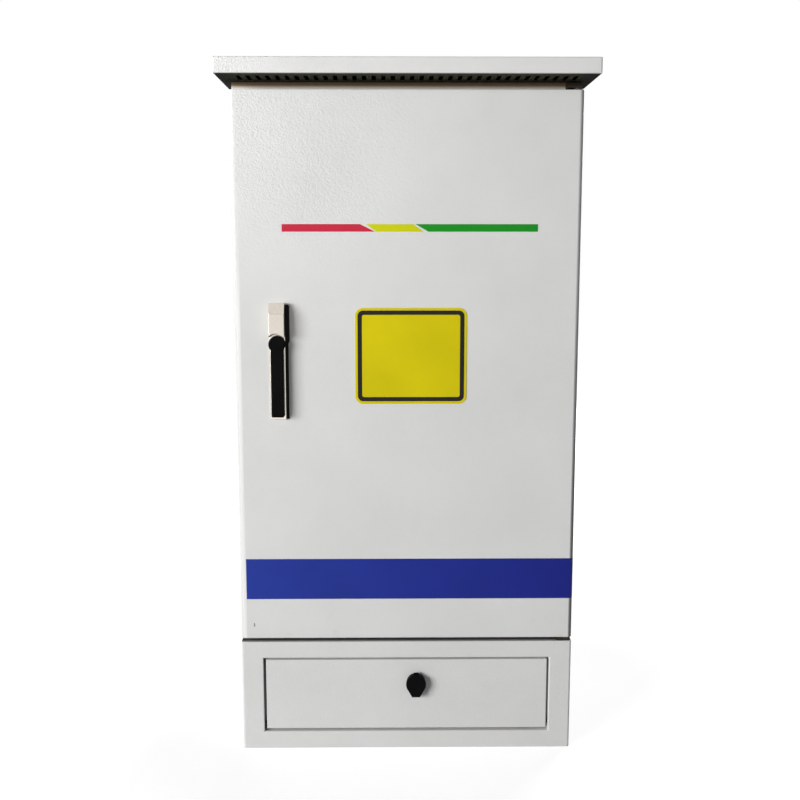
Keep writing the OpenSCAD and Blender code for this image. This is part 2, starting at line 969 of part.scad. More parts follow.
module din_rail() {
    color("silver")
        union() {
            span([-rail_x, rail_x], [panel_y - rail_t, panel_y],
                [rail_z - rail_h / 2 + rail_wing, rail_z + rail_h / 2 - rail_wing]);
            for (s = [0, 1])
                translate([0, 0, rail_z])
                    mirror([0, 0, s]) {
                        span([-rail_x, rail_x], [rail_y, panel_y],
                            [rail_h / 2 - rail_wing - rail_t, rail_h / 2 - rail_wing]);
                        span([-rail_x, rail_x], [rail_y, rail_y + rail_t],
                            [rail_h / 2 - rail_wing - rail_t, rail_h / 2]);
                    }
        }
}

// Breaker on the rail, with a bay for its toggle
module breaker(x, w) {
    axis_y = rail_y - breaker_high + toggle_r + weld;
    translate([x, 0, rail_z])
        difference() {
            union() {
                span([-w / 2, w / 2], [rail_y - breaker_low, rail_y],
                    [-breaker_h / 2, breaker_h / 2]);
                span([-w / 2, w / 2], [rail_y - breaker_high, rail_y],
                    [-breaker_raise / 2, breaker_raise / 2]);
            }
            span([-w / 4 - slip, w / 4 + slip],
                [rail_y - breaker_high - cut, axis_y + toggle_r + weld],
                [-toggle_bay, toggle_bay]);
            translate([0, axis_y, 0])
                bar_x(toggle_pin_d + 2 * running,
                    [-w / 4 - toggle_pin_l - weld, w / 4 + toggle_pin_l + weld]);
        }
}

// Toggle of a breaker, tilted up
module toggle(x, w) {
    axis_y = rail_y - breaker_high + toggle_r + weld;
    translate([x, axis_y, rail_z])
        union() {
            bar_x(2 * toggle_r, [-w / 4, w / 4]);
            bar_x(toggle_pin_d, [-w / 4 - toggle_pin_l, w / 4 + toggle_pin_l]);
            rotate([-toggle_tilt, 0, 0])
                span([-w / 4, w / 4], [-toggle_tip, 0], [-toggle_t / 2, toggle_t / 2]);
        }
}

module main_breaker() {
    color("whitesmoke")
        breaker(main_x, main_w);
}

module main_toggle() {
    color("black")
        toggle(main_x, main_w);
}

module lamp_breaker() {
    color("whitesmoke")
        breaker(lamp_x, lamp_w);
}

module lamp_toggle() {
    color("black")
        toggle(lamp_x, lamp_w);
}

module surge_arrester() {
    color("firebrick")
        translate([arrester_x, 0, rail_z])
            union() {
                span([-arrester_w / 2, arrester_w / 2], [rail_y - breaker_low, rail_y],
                    [-breaker_h / 2, breaker_h / 2]);
                span([-arrester_w / 2, arrester_w / 2], [rail_y - breaker_high, rail_y],
                    [-breaker_raise / 2, breaker_raise / 2]);
            }
}

module terminal_strip() {
    pitch = strip_l / strip_ways;
    color("darkolivegreen")
        union() {
            span([-strip_l / 2, strip_l / 2], [panel_y - strip_base, panel_y],
                [strip_z - strip_h / 2, strip_z + strip_h / 2]);
            for (i = [0 : strip_ways])
                translate([i * pitch - strip_l / 2, 0, strip_z])
                    span([-cut, cut], [panel_y - strip_rib, panel_y], [-strip_h / 2, strip_h / 2]);
        }
}

module earth_bar() {
    bar_front = panel_y - earth_gap - earth_t;
    pitch = earth_l / earth_holes;
    color("peru")
        difference() {
            union() {
                span([-earth_l / 2, earth_l / 2], [bar_front, bar_front + earth_t],
                    [earth_z - earth_h / 2, earth_z + earth_h / 2]);
                for (s = [-1, 1])
                    translate([s * (earth_l - pitch) / 2, 0, earth_z])
                        bar_y(earth_h, [bar_front, panel_y]);
            }
            for (i = [1 : earth_holes - 2])
                translate([(i + 0.5) * pitch - earth_l / 2, 0, earth_z])
                    bar_y(earth_hole_d, [bar_front - cut, bar_front + earth_t + cut]);
        }
}

module fan_frame() {
    color("dimgray")
        translate([0, fan_y, fan_z])
            union() {
                difference() {
                    linear_extrude(fan_h)
                        round_rect(fan_side, fan_side, rear_bend_r);
                    bar_z(2 * fan_bore_r, [-cut, fan_h + cut]);
                }
                for (a = [45, 135])
                    rotate([0, 0, a])
                        span([-fan_bore_r - cut, fan_bore_r + cut], [-fan_strut / 2, fan_strut / 2],
                            [0, fan_strut]);
                bar_z(2 * fan_hub_r, [0, fan_strut]);
                bar_z(fan_shaft_d, [0, hub_z1 - fan_strut]);
            }
}

module fan_rotor() {
    blade_x = [fan_hub_r - fan_blade_root, fan_bore_r - fan_tip_gap];
    blade_mid = (hub_z0 + hub_z1) / 2;
    color("black")
        translate([0, fan_y, fan_z])
            difference() {
                union() {
                    bar_z(2 * fan_hub_r, [hub_z0, hub_z1]);
                    for (i = [0 : fan_blades - 1])
                        rotate([0, 0, i * 360 / fan_blades])
                            translate([0, 0, blade_mid])
                                rotate([fan_pitch_angle, 0, 0])
                                    span(blade_x, [-cut, cut], [-fan_blade_h, fan_blade_h]);
                }
                bar_z(fan_shaft_d + 2 * running, [hub_z0 - cut, hub_z1 - fan_strut + weld]);
            }
}

// Where the door's two stiffeners sit
module at_stiffeners() {
    for (s = [-1, 1])
        translate([s * stiffener_x, 0, 0])
            children();
}

module door_panel() {
    z0 = door_z0 + sheet;
    z1 = door_z1 - sheet;
    stiff_y = skin_y + stiffener_d;
    color("whitesmoke")
        difference() {
            union() {
                difference() {
                    translate([0, 0, door_z0])
                        linear_extrude(door_z1 - door_z0)
                            tray_outline(half_w, face_y, door_back_y, door_bend_r);
                    translate([0, 0, z0])
                        linear_extrude(z1 - z0)
                            tray_outline(inner_x, skin_y, door_back_y - sheet, door_bend_r - sheet);
                    span([door_fold - half_w, half_w - door_fold],
                        [door_back_y - sheet - cut, door_back_y + cut],
                        [door_z0 + door_fold, door_z1 - door_fold]);
                }
                at_stiffeners()
                    difference() {
                        span([-stiffener_w / 2, stiffener_w / 2], [skin_y - weld, stiff_y],
                            [door_z0 + stiffener_end, door_z1 - stiffener_end]);
                        span([sheet - stiffener_w / 2, stiffener_w / 2 - sheet],
                            [skin_y - cut, stiff_y - sheet],
                            [door_z0 + stiffener_end - cut, door_z1 - stiffener_end + cut]);
                    }
                translate([pivot_x, pivot_y, 0]) {
                    bar_z(2 * pivot_boss_r, [z0 - weld, z0 + pivot_boss_h]);
                    bar_z(2 * pivot_boss_r, [z1 - pivot_boss_h, z1 + weld]);
                }
            }
            translate([pivot_x, pivot_y, 0]) {
                bar_z(pivot_pin_d + 2 * running, [door_z0 - cut, z0 + pivot_boss_h + cut]);
                bar_z(pivot_pin_d + 2 * running, [z1 - pivot_boss_h - cut, door_z1 + cut]);
            }
            translate([lock_x, 0, lock_z])
                bar_y(2 * (boss_r + slip), [face_y - cut, skin_y + cut]);
        }
}

module door_gasket() {
    line_x = way_x + sheet / 2;
    line_z0 = way_z0 - sheet / 2;
    line_z1 = way_z1 + sheet / 2;
    g = gasket_w / 2;
    color("black")
        difference() {
            span([-line_x - g, line_x + g], [skin_y, gasket_back_y], [line_z0 - g, line_z1 + g]);
            span([g - line_x, line_x - g], [skin_y - cut, gasket_back_y + cut],
                [line_z0 + g, line_z1 - g]);
        }
}

module document_pocket() {
    y0 = skin_y + stiffener_d;
    z0 = door_z0 + pocket_up;
    color("slategray")
        difference() {
            span([-pocket_w / 2, pocket_w / 2], [y0, y0 + pocket_d], [z0, z0 + pocket_h]);
            span([pocket_wall - pocket_w / 2, pocket_w / 2 - pocket_wall],
                [y0 + pocket_wall, y0 + pocket_d - pocket_wall],
                [z0 + pocket_wall, z0 + pocket_h + cut]);
        }
}

module lock_base() {
    b = base_w / 2;
    color("silver")
        translate([lock_x, 0, lock_z])
            difference() {
                union() {
                    soft_span([-b, b], [face_y - base_t, face_y + base_soft], [-base_down, base_up],
                        base_soft);
                    difference() {
                        soft_span([-b, b], [face_y - block_t, face_y + base_soft],
                            [block_foot, base_up], base_soft);
                        bar_y(2 * crescent_r, [face_y - block_t - cut, face_y - base_t]);
                        translate([0, face_y - block_t, block_brow])
                            rotate([-atan2(brow_drop, base_up - block_brow), 0, 0])
                                span([-base_w, base_w], [-brow_drop, 0], [0, base_up]);
                    }
                    bar_y(2 * boss_r, [face_y - cut, face_y + boss_l]);
                }
                difference() {
                    span([-base_w, base_w], [face_y, face_y + 2 * base_soft],
                        [-base_down - cut, base_up + cut]);
                    bar_y(2 * boss_r, [face_y - cut, face_y + boss_l]);
                }
                bar_y(spindle_d + 2 * running, [face_y - base_t - cut, face_y + boss_l + cut]);
                translate([0, 0, key_up])
                    bar_y(key_d + 2 * running, [face_y - block_t - cut, face_y - block_t + key_l]);
                translate([0, 0, cover_pivot])
                    bar_y(cover_rivet_d + 2 * running,
                        [face_y - block_t - cut, face_y - block_t + cover_rivet_l + weld]);
            }
}

module lock_nut() {
    color("silver")
        translate([lock_x, 0, lock_z])
            difference() {
                hex_y(lock_nut_d, [skin_y, skin_y + lock_nut_t]);
                bar_y(2 * boss_r, [skin_y - cut, skin_y + lock_nut_t + cut]);
            }
}

module lock_lever() {
    front_y = lever_back_y - lever_t;
    w = lever_w / 2;
    head = head_d / 2;
    color("black")
        translate([lock_x, 0, lock_z])
            difference() {
                union() {
                    soft_span([-w, w], [front_y, lever_back_y], [-lever_l, lever_soft],
                        lever_soft);
                    translate([0, lever_back_y, 0])
                        rotate([90, 0, 0])
                            rotate_extrude()
                                intersection() {
                                    translate([0, lever_t / 2])
                                        round_rect(head_d, lever_t, lever_soft);
                                    square([head, lever_t]);
                                }
                }
                span([-fork_w / 2 - slip, fork_w / 2 + slip],
                    [lever_back_y - fork_pocket_d, lever_back_y + cut],
                    [-fork_pocket_h / 2, fork_pocket_h / 2]);
                translate([0, lever_pin_y, 0])
                    bar_x(lever_pin_d + 2 * running, [-head, head]);
                translate([0, lever_back_y, 0])
                    rotate([lift_max + weld, 0, 0])
                        span([-head_d, head_d], [0, head_d], [0, head_d]);
            }
}

module lever_pin() {
    color("silver")
        translate([lock_x, lever_pin_y, lock_z])
            bar_x(lever_pin_d, [-lever_pin_l / 2, lever_pin_l / 2]);
}

module lock_spindle() {
    shaft_y = face_y - base_t + weld;
    color("silver")
        translate([lock_x, 0, lock_z])
            difference() {
                union() {
                    bar_y(spindle_d, [shaft_y, cam_y]);
                    span([-drive_side / 2, drive_side / 2], [cam_y - cut, cam_back_y],
                        [-drive_side / 2, drive_side / 2]);
                    span([-fork_w / 2, fork_w / 2], [lever_pin_y, shaft_y + cut],
                        [-fork_neck, fork_neck]);
                    translate([0, lever_pin_y, 0])
                        bar_x(2 * fork_r, [-fork_w / 2, fork_w / 2]);
                }
                translate([0, lever_pin_y, 0])
                    bar_x(lever_pin_d, [-fork_w, fork_w]);
            }
}

module key_cylinder() {
    front = face_y - block_t + weld;
    color("silver")
        translate([lock_x, 0, lock_z + key_up])
            difference() {
                bar_y(key_d, [front, face_y - block_t + key_l - weld]);
                span([-key_slot_w / 2, key_slot_w / 2], [front - cut, front + key_slot_d],
                    [-key_slot_h / 2, key_slot_h / 2]);
            }
}

module key_cover() {
    back = face_y - block_t - cover_gap;
    color("silver")
        translate([lock_x, 0, lock_z])
            union() {
                difference() {
                    soft_span([-cover_w / 2, cover_w / 2], [back - cover_t, back],
                        [block_foot, block_brow - weld], cover_t / 4);
                    bar_y(2 * cover_foot, [back - cover_t - cut, back + cut]);
                }
                translate([0, 0, cover_pivot])
                    bar_y(cover_rivet_d, [back - cut, back + cover_rivet_l]);
            }
}

module latch_cam() {
    color("silver")
        translate([lock_x, 0, lock_z])
            union() {
                difference() {
                    union() {
                        bar_y(cam_hub_d, [cam_y, cam_back_y]);
                        span([-tongue_l, 0], [cam_y, cam_back_y], [-tongue_w / 2, tongue_w / 2]);
                    }
                    span([-drive_side / 2, drive_side / 2], [cam_y - cut, cam_back_y + cut],
                        [-drive_side / 2, drive_side / 2]);
                }
                for (s = [-1, 1])
                    translate([s * crank_z, 0, -s * crank_z])
                        bar_y(rod_pin_d, [cam_back_y - cut, rod_back_y + weld]);
            }
}

// Flat rod that the cam draws back, going up from the lock's axis by a length
module latch_rod(reach) {
    difference() {
        span([-rod_x - rod_w / 2, rod_w / 2 - rod_x], [rod_y, rod_back_y],
            [crank_z - rod_end, reach]);
        translate([0, 0, crank_z])
            span([-crank_r - rod_slot_h / 2, rod_slot_h / 2 - crank_z], [rod_y - cut, rod_back_y + cut],
                [-rod_slot_h / 2, rod_slot_h / 2]);
    }
}

module upper_rod() {
    color("silver")
        translate([lock_x, 0, lock_z])
            latch_rod(rod_top);
}

module lower_rod() {
    color("silver")
        translate([lock_x, 0, lock_z])
            rotate([0, 180, 0])
                latch_rod(rod_bottom);
}

// Guide block that holds a rod at a height above the lock's axis
module rod_guide(up) {
    loop_y = rod_y - slip - guide_wall;
    loop_x = rod_w / 2 + slip + guide_wall;
    translate([-rod_x, 0, up])
        difference() {
            union() {
                span([-guide_post_w / 2, guide_post_w / 2], [skin_y, loop_y + guide_wall],
                    [-guide_h / 2, guide_h / 2]);
                span([-loop_x, loop_x], [loop_y, rod_back_y + slip + guide_wall],
                    [-guide_h / 2, guide_h / 2]);
            }
            span([-rod_w / 2 - slip, rod_w / 2 + slip], [rod_y - slip, rod_back_y + slip],
                [-guide_h, guide_h]);
        }
}

module rod_guides() {
    color("ivory")
        translate([lock_x, 0, lock_z]) {
            for (up = [guide_near, rod_top - rod_reach - guide_far])
                rod_guide(up);
            for (down = [guide_near, rod_bottom - rod_reach - guide_far])
                rotate([0, 180, 0])
                    rod_guide(down);
        }
}

module band_film() {
    wrap_y = face_y + door_bend_r + band_wrap;
    color("navy")
        translate([0, 0, door_z0 + band_up])
            linear_extrude(band_h)
                difference() {
                    tray_outline(half_w + film_t, face_y - film_t, 0, door_bend_r + film_t);
                    tray_outline(half_w, face_y, cut, door_bend_r);
                    translate([-cabinet_w, -cabinet_d])
                        square([half_w + band_left, 2 * cabinet_d]);
                    translate([-cabinet_w, wrap_y])
                        square([2 * cabinet_w, cabinet_d]);
                }
}

// Piece of the stripe between two slanted ends, given as shares of its width below and above
module stripe_piece(from, to) {
    translate([stripe_left - half_w, face_y, stripe_z0])
        rotate([90, 0, 0])
            linear_extrude(film_t)
                polygon([[from[0] * stripe_w, 0], [to[0] * stripe_w, 0],
                    [to[1] * stripe_w, stripe_h], [from[1] * stripe_w, stripe_h]]);
}

module red_stripe() {
    color("crimson")
        stripe_piece([0, 0], red_end);
}

module amber_stripe() {
    color("gold")
        stripe_piece(amber_start, amber_end);
}

module green_stripe() {
    color("green")
        stripe_piece(green_start, [1, 1]);
}

module flap_panel() {
    color("gainsboro")
        difference() {
            span([-flap_x, flap_x], [face_y, face_y + flap_d], [flap_z0, flap_z1]);
            span([sheet - flap_x, flap_x - sheet], [skin_y, face_y + flap_d + cut],
                [flap_z0 + sheet, flap_z1 - sheet]);
            translate([flap_lock_x, 0, flap_lock_z])
                bar_y(barrel_d, [face_y - cut, skin_y + cut]);
            translate([0, flap_pivot_y, flap_pivot_z])
                bar_x(flap_pin_d + 2 * running, [-flap_x - cut, flap_x + cut]);
        }
}

// One ear of the dust cap's hinge on the lock's collar, on the right
module cap_ear() {
    x0 = cap_knuckle_w / 2 + running;
    translate([0, face_y + cap_hinge_y, cap_hinge_z])
        union() {
            bar_x(2 * cap_knuckle_r, [x0, x0 + cap_ear_w]);
            span([x0, x0 + cap_ear_w], [0, cap_ear_d], [-cap_knuckle_r - cap_pin_d, 0]);
        }
}

module flap_lock_body() {
    ear_end = cap_knuckle_w / 2 + running + cap_ear_w;
    color("black")
        translate([flap_lock_x, 0, flap_lock_z])
            union() {
                difference() {
                    union() {
                        bar_y(collar_d, [face_y - collar_t, face_y]);
                        bar_y(barrel_d, [face_y - cut, face_y + barrel_l]);
                        hex_y(barrel_nut_d, [skin_y, skin_y + barrel_nut_t]);
                    }
                    bar_y(plug_d + 2 * running, [face_y - collar_t - cut, face_y + barrel_l + cut]);
                    translate([0, face_y + cap_hinge_y, cap_hinge_z])
                        bar_x(2 * (cap_knuckle_r + slip), [-ear_end, ear_end]);
                }
                for (s = [0, 1])
                    mirror([s, 0, 0])
                        cap_ear();
                translate([0, face_y + cap_hinge_y, cap_hinge_z])
                    bar_x(cap_pin_d, [-ear_end, ear_end]);
            }
}

module flap_lock_cam() {
    front = face_y - collar_t + weld;
    back = flap_cam_y + flap_cam_t;
    color("silver")
        translate([flap_lock_x, 0, flap_lock_z])
            difference() {
                union() {
                    bar_y(plug_d, [front, flap_cam_y]);
                    span([-flap_cam_w / 2, flap_cam_w / 2], [flap_cam_y, back],
                        [-flap_cam_w / 2, flap_cam_l]);
                    bar_y(cam_screw_d, [back - cut, back + flap_cam_t]);
                }
                span([-key_slot_w / 2, key_slot_w / 2], [front - cut, front + key_slot_d],
                    [-key_slot_h / 2, key_slot_h / 2]);
            }
}

module flap_lock_cap() {
    back = face_y - collar_t - cap_gap;
    r = cap_d / 2;
    shoulder_x = r * cos(cap_lean);
    shoulder_z = -r * sin(cap_lean);
    color("black")
        translate([flap_lock_x, 0, flap_lock_z])
            difference() {
                union() {
                    difference() {
                        union() {
                            bar_y(cap_d, [back - cap_t, back]);
                            translate([0, back, 0])
                                rotate([90, 0, 0])
                                    linear_extrude(cap_t)
                                        polygon([[-shoulder_x, shoulder_z],
                                            [-cap_tail_w / 2, -cap_tail],
                                            [cap_tail_w / 2, -cap_tail],
                                            [shoulder_x, shoulder_z]]);
                        }
                        translate([0, face_y + cap_hinge_y, cap_hinge_z])
                            bar_x(2 * (cap_knuckle_r + slip), [-r, r]);
                    }
                    translate([0, face_y + cap_hinge_y, cap_hinge_z])
                        bar_x(2 * cap_knuckle_r, [-cap_knuckle_w / 2, cap_knuckle_w / 2]);
                    span([-cap_knuckle_w / 2, cap_knuckle_w / 2], [back - cap_t, back],
                        [cap_hinge_z - cap_knuckle_r - cap_pin_d, cap_hinge_z - cap_pin_d / 2]);
                }
                translate([0, face_y + cap_hinge_y, cap_hinge_z])
                    bar_x(cap_pin_d + 2 * running, [-r, r]);
            }
}

plinth_frame();
cabinet_shell();
top_panel();
floor_panel();
door_frame();
roof_cap();
cabinet_bolts();
top_pivot_bracket();
bottom_pivot_bracket();
pivot_pins();
flap_hinge_pins();
gland_plate();
cable_grommets();
rack_post_left();
rack_post_right();
controller_chassis();
power_module();
processor_module();
driver_module_1();
driver_module_2();
driver_module_3();
driver_module_4();
operator_panel();
display_window();
auto_button();
flash_button();
step_button();
mounting_plate();
din_rail();
main_breaker();
main_toggle();
lamp_breaker();
lamp_toggle();
surge_arrester();
terminal_strip();
earth_bar();
fan_frame();
fan_rotor();
door_panel();
door_gasket();
document_pocket();
lock_base();
lock_nut();
lock_lever();
lever_pin();
lock_spindle();
key_cylinder();
key_cover();
latch_cam();
upper_rod();
lower_rod();
rod_guides();
band_film();
red_stripe();
amber_stripe();
green_stripe();
flap_panel();
flap_lock_body();
flap_lock_cam();
flap_lock_cap();
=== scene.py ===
# %% [markdown]
# # A roadside signal controller cabinet
# The cabinet is a painted steel box on a plinth, with a slotted roof, one door and a drop-down flap.
# Its solids come from the CAD step, at their real size, so this lesson only dresses them. Each step
# says what a piece is on the real cabinet, how it could be made in Blender, and why it is made this way.
# All lengths are in metres.

# %% Load the cabinet and keep its size
import math
import bmesh
import bpy
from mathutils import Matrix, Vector


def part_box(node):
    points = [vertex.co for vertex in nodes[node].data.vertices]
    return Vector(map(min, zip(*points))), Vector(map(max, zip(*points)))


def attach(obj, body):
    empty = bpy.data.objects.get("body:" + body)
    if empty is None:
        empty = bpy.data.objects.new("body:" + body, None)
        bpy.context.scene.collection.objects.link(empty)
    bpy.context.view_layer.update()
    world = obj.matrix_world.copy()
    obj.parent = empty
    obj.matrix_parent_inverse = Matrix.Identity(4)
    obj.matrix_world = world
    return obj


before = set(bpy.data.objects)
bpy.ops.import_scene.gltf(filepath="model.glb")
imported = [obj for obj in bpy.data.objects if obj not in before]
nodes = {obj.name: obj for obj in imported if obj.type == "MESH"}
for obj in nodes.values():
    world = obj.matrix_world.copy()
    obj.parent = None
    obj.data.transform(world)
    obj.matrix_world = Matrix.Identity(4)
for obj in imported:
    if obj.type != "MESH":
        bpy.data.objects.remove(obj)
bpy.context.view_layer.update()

# %% [markdown]
# ## The camera
# The photo was taken from about two metres away, from chest height and a little left of the middle,
# looking slightly down. A camera could be placed by eye, but here its lens, place and tilt were worked
# out from the cabinet's corners in the photo, so that the render can be laid over it.

# %% Place the camera
FOCAL_PIXELS, IMAGE_PIXELS, SENSOR_MM = 1027.0, 800, 36.0
CAMERA_AT = (-0.0302, -2.0109, 0.9045)
LOOK_DOWN, LOOK_RIGHT = 0.14286, 0.01015
camera = bpy.data.objects.new("camera", bpy.data.cameras.new("camera"))
camera.data.sensor_width = SENSOR_MM
camera.data.lens = SENSOR_MM * FOCAL_PIXELS / IMAGE_PIXELS
camera.location = CAMERA_AT
camera.rotation_euler = (math.pi / 2 - LOOK_DOWN, 0, -LOOK_RIGHT)
bpy.context.scene.collection.objects.link(camera)
bpy.context.scene.camera = camera
bpy.context.scene.view_settings.view_transform = "Standard"
print("lens:", round(camera.data.lens, 1), "mm")

# %% [markdown]
# ## Colours and shader nodes
# Colours read off a picture are display values. Blender's shaders count light, so each colour is
# converted once, here, by the curve that displays use. Another helper adds a shader node and fills its
# sockets by name: a number or a colour is written on the socket, and another node's output is wired to
# it. It keeps each finish short. Further on, a noise is written as its scale, detail and roughness, and
# a range as from low, from high, to low, to high.

# %% Helpers for colours and nodes
def colour(red, green, blue):
    def light(value):
        share = value / 255
        return share / 12.92 if share <= 0.04045 else ((share + 0.055) / 1.055) ** 2.4
    return (light(red), light(green), light(blue), 1.0)


def grey(value):
    return colour(value, value, value)


def fill(tree, shader, **sockets):
    for name, value in sockets.items():
        socket = shader.inputs[name.replace("_", " ")]
        if isinstance(value, bpy.types.NodeSocket):
            tree.links.new(value, socket)
        else:
            socket.default_value = value


def add(tree, kind, settings=None, **sockets):
    made = tree.nodes.new("ShaderNode" + kind)
    for name, value in (settings or {}).items():
        setattr(made, name, value)
    fill(tree, made, **sockets)
    return made


def new_finish(name):
    made = bpy.data.materials.new(name)
    made.use_nodes = True
    tree = made.node_tree
    shader = tree.nodes["Principled BSDF"]
    place = add(tree, "TexCoord").outputs["Object"]
    return made, tree, shader, place


def mix(tree, share, first, second, blend="MIX"):
    mixed = add(tree, "MixRGB", {"blend_type": blend}, Fac=share, Color1=first, Color2=second)
    return mixed.outputs["Color"]


def spread(tree, value, low, high, to_low, to_high):
    return add(tree, "MapRange", Value=value, From_Min=low, From_Max=high,
               To_Min=to_low, To_Max=to_high).outputs["Result"]


def noise(tree, place, scale, detail=2.0, roughness=0.5):
    made = add(tree, "TexNoise", Vector=place, Scale=scale, Detail=detail, Roughness=roughness)
    return made.outputs["Fac"]


print("a pale grey as light:", [round(c, 3) for c in grey(228)[:3]])

# %% [markdown]
# ## Floor and sky
# The cabinet stands in front of plain white. The floor is a pale plane that keeps the shadow, and its
# shader adds white only for what the camera sees directly or in a reflection, so the white background
# costs no extra light on the cabinet. The added white grows with the distance from the cabinet, so that
# the shadow shows close to it and is gone further out. The sky is dim for the cabinet and white for the
# camera in the same way.

# %% Make the floor and the sky
SEEN_RAYS = ("Is Camera Ray", "Is Glossy Ray", "Is Transmission Ray")


def chain(tree, operation, *values):
    total = values[0]
    for value in values[1:]:
        step = add(tree, "Math", {"operation": operation})
        tree.links.new(total, step.inputs[0])
        tree.links.new(value, step.inputs[1])
        total = step.outputs[0]
    return total


def product(tree, *shares):
    return chain(tree, "MULTIPLY", *shares)


def seen_directly(tree):
    path = add(tree, "LightPath")
    return chain(tree, "MAXIMUM", *[path.outputs[ray] for ray in SEEN_RAYS])


def length(tree, vector):
    step = add(tree, "VectorMath", {"operation": "LENGTH"})
    tree.links.new(vector, step.inputs[0])
    return step.outputs["Value"]


SKY_LIGHT = 0.13
WHITE = (1, 1, 1, 1)
world = bpy.data.worlds.new("sky")
bpy.context.scene.world = world
world.use_nodes = True
sky_tree = world.node_tree
sky_strength = spread(sky_tree, seen_directly(sky_tree), 0, 1, SKY_LIGHT, 1.0)
fill(sky_tree, sky_tree.nodes["Background"], Color=WHITE, Strength=sky_strength)

FLOOR_HALF = 9.0
FLOOR_CLOUDS, FLOOR_TONES = 3.0, ((0.56, 0.56, 0.56, 1), (0.60, 0.60, 0.60, 1))
SHADOW_NEAR, SHADOW_FAR, SHADOW_WHITE = 0.5, 1.6, 0.69
floor_mesh = bpy.data.meshes.new("floor")
floor_mesh.from_pydata([(-FLOOR_HALF, -FLOOR_HALF, 0), (FLOOR_HALF, -FLOOR_HALF, 0),
                        (FLOOR_HALF, FLOOR_HALF, 0), (-FLOOR_HALF, FLOOR_HALF, 0)], [], [(0, 1, 2, 3)])
floor = bpy.data.objects.new("floor", floor_mesh)
bpy.context.scene.collection.objects.link(floor)

floor_finish = bpy.data.materials.new("pale_floor")
floor_finish.use_nodes = True
floor_tree = floor_finish.node_tree
floor_tree.nodes.clear()
floor_place = add(floor_tree, "TexCoord").outputs["Object"]
floor_tone = mix(floor_tree, noise(floor_tree, floor_place, FLOOR_CLOUDS), *FLOOR_TONES)
floor_matt = add(floor_tree, "BsdfDiffuse", Color=floor_tone)
from_middle = length(floor_tree, floor_place)
white_share = spread(floor_tree, from_middle, SHADOW_NEAR, SHADOW_FAR, SHADOW_WHITE, 1.0)
seen_white = product(floor_tree, white_share, seen_directly(floor_tree))
floor_glow = add(floor_tree, "Emission", Color=WHITE, Strength=seen_white)
floor_sum = add(floor_tree, "AddShader")
floor_tree.links.new(floor_matt.outputs[0], floor_sum.inputs[0])
floor_tree.links.new(floor_glow.outputs[0], floor_sum.inputs[1])
add(floor_tree, "OutputMaterial", Surface=floor_sum.outputs[0])
floor_mesh.materials.append(floor_finish)
print("floor is", 2 * FLOOR_HALF, "m wide")

# %% [markdown]
# ## Lamps
# The shadows in the photo are soft and fall to the right, so the main lamp is as big as a window and
# stands on the left. A sun lamp would give the direction too, but with hard shadows and without the
# slow fall of light across the door. A small lamp near the upper left corner brightens it as in the
# photo, and a weaker one behind the right shows the back and the right side. Lamps are hidden from the
# camera.

# %% Hang the lamps
WINDOW_LIGHT = dict(place=(-4.2, -3.9, 1.42), aim=(0.0, -0.22, 0.8), width=3.0, height=1.9, power=314)
CORNER_LIGHT = dict(place=(-0.66, -0.66, 1.18), aim=(-0.24, -0.22, 1.16), width=0.25, height=0.25,
                    power=0.16, spread_deg=75)
REAR_FILL = dict(place=(1.9, 3.4, 1.7), aim=(0.0, 0.0, 0.6), width=2.2, height=1.6, power=120)


def soft_lamp(name, place, aim, width, height, power, spread_deg=180):
    lamp = bpy.data.lights.new(name, "AREA")
    lamp.shape = "RECTANGLE"
    lamp.size, lamp.size_y, lamp.energy = width, height, power
    lamp.spread = math.radians(spread_deg)
    holder = bpy.data.objects.new(name, lamp)
    holder.location = place
    holder.rotation_euler = (Vector(aim) - Vector(place)).to_track_quat("-Z", "Y").to_euler()
    holder.visible_camera = False
    bpy.context.scene.collection.objects.link(holder)
    return holder


lamps = [soft_lamp("window_light", **WINDOW_LIGHT), soft_lamp("top_corner_light", **CORNER_LIGHT),
         soft_lamp("rear_fill", **REAR_FILL)]
print("lamps:", [lamp.name for lamp in lamps])

# %% [markdown]
# ## Powder coat
# The steel is powder coated: a baked plastic film with a fine sandy texture. A picture of it could be
# wrapped on the sheets, but noise in three dimensions needs no unwrapping and follows every fold. One
# noise makes the grain of about a millimetre, a wide one makes the coat slightly uneven, and a bevel
# node rounds the folds for the light, so that the edges catch it as bent steel does. Where the coat went
# on thick, at the upper left of the door and the roof, the grain stands up more, so its strength follows
# the place on the piece.

# %% Make the powder coat
COAT, COAT_WORN, COAT_SHINE = colour(229, 229, 228), colour(216, 216, 213), 0.08
CLOUDS, CLOUD_RANGE = (5.0, 4.0, 0.6), (0.35, 0.75, 0.0, 0.55)
GRAIN, SPECKLE_RANGE, GLOSS_RANGE = (340.0, 3.0, 0.65), (0.3, 0.7, 0.0, 0.10), (0.25, 0.75, 0.42, 0.58)
FOLD_ROUNDING, FOLD_SAMPLES = 0.0018, 6
GRAIN_DEPTH, GRAIN_EVEN, GRAIN_THIN, GRAIN_THICK = 0.002, 0.24, 0.14, 0.80
THICK_ACROSS, THICK_UP = (-0.16, 0.06, 1.0, 0.0), (0.86, 1.02, 0.0, 1.0)


def axes(tree, vector):
    made = add(tree, "SeparateXYZ", Vector=vector)
    return made.outputs["X"], made.outputs["Y"], made.outputs["Z"]


def thick_coat(tree, place):
    x, _, z = axes(tree, place)
    thick = product(tree, spread(tree, x, *THICK_ACROSS), spread(tree, z, *THICK_UP))
    return spread(tree, thick, 0.0, 1.0, GRAIN_THIN, GRAIN_THICK)


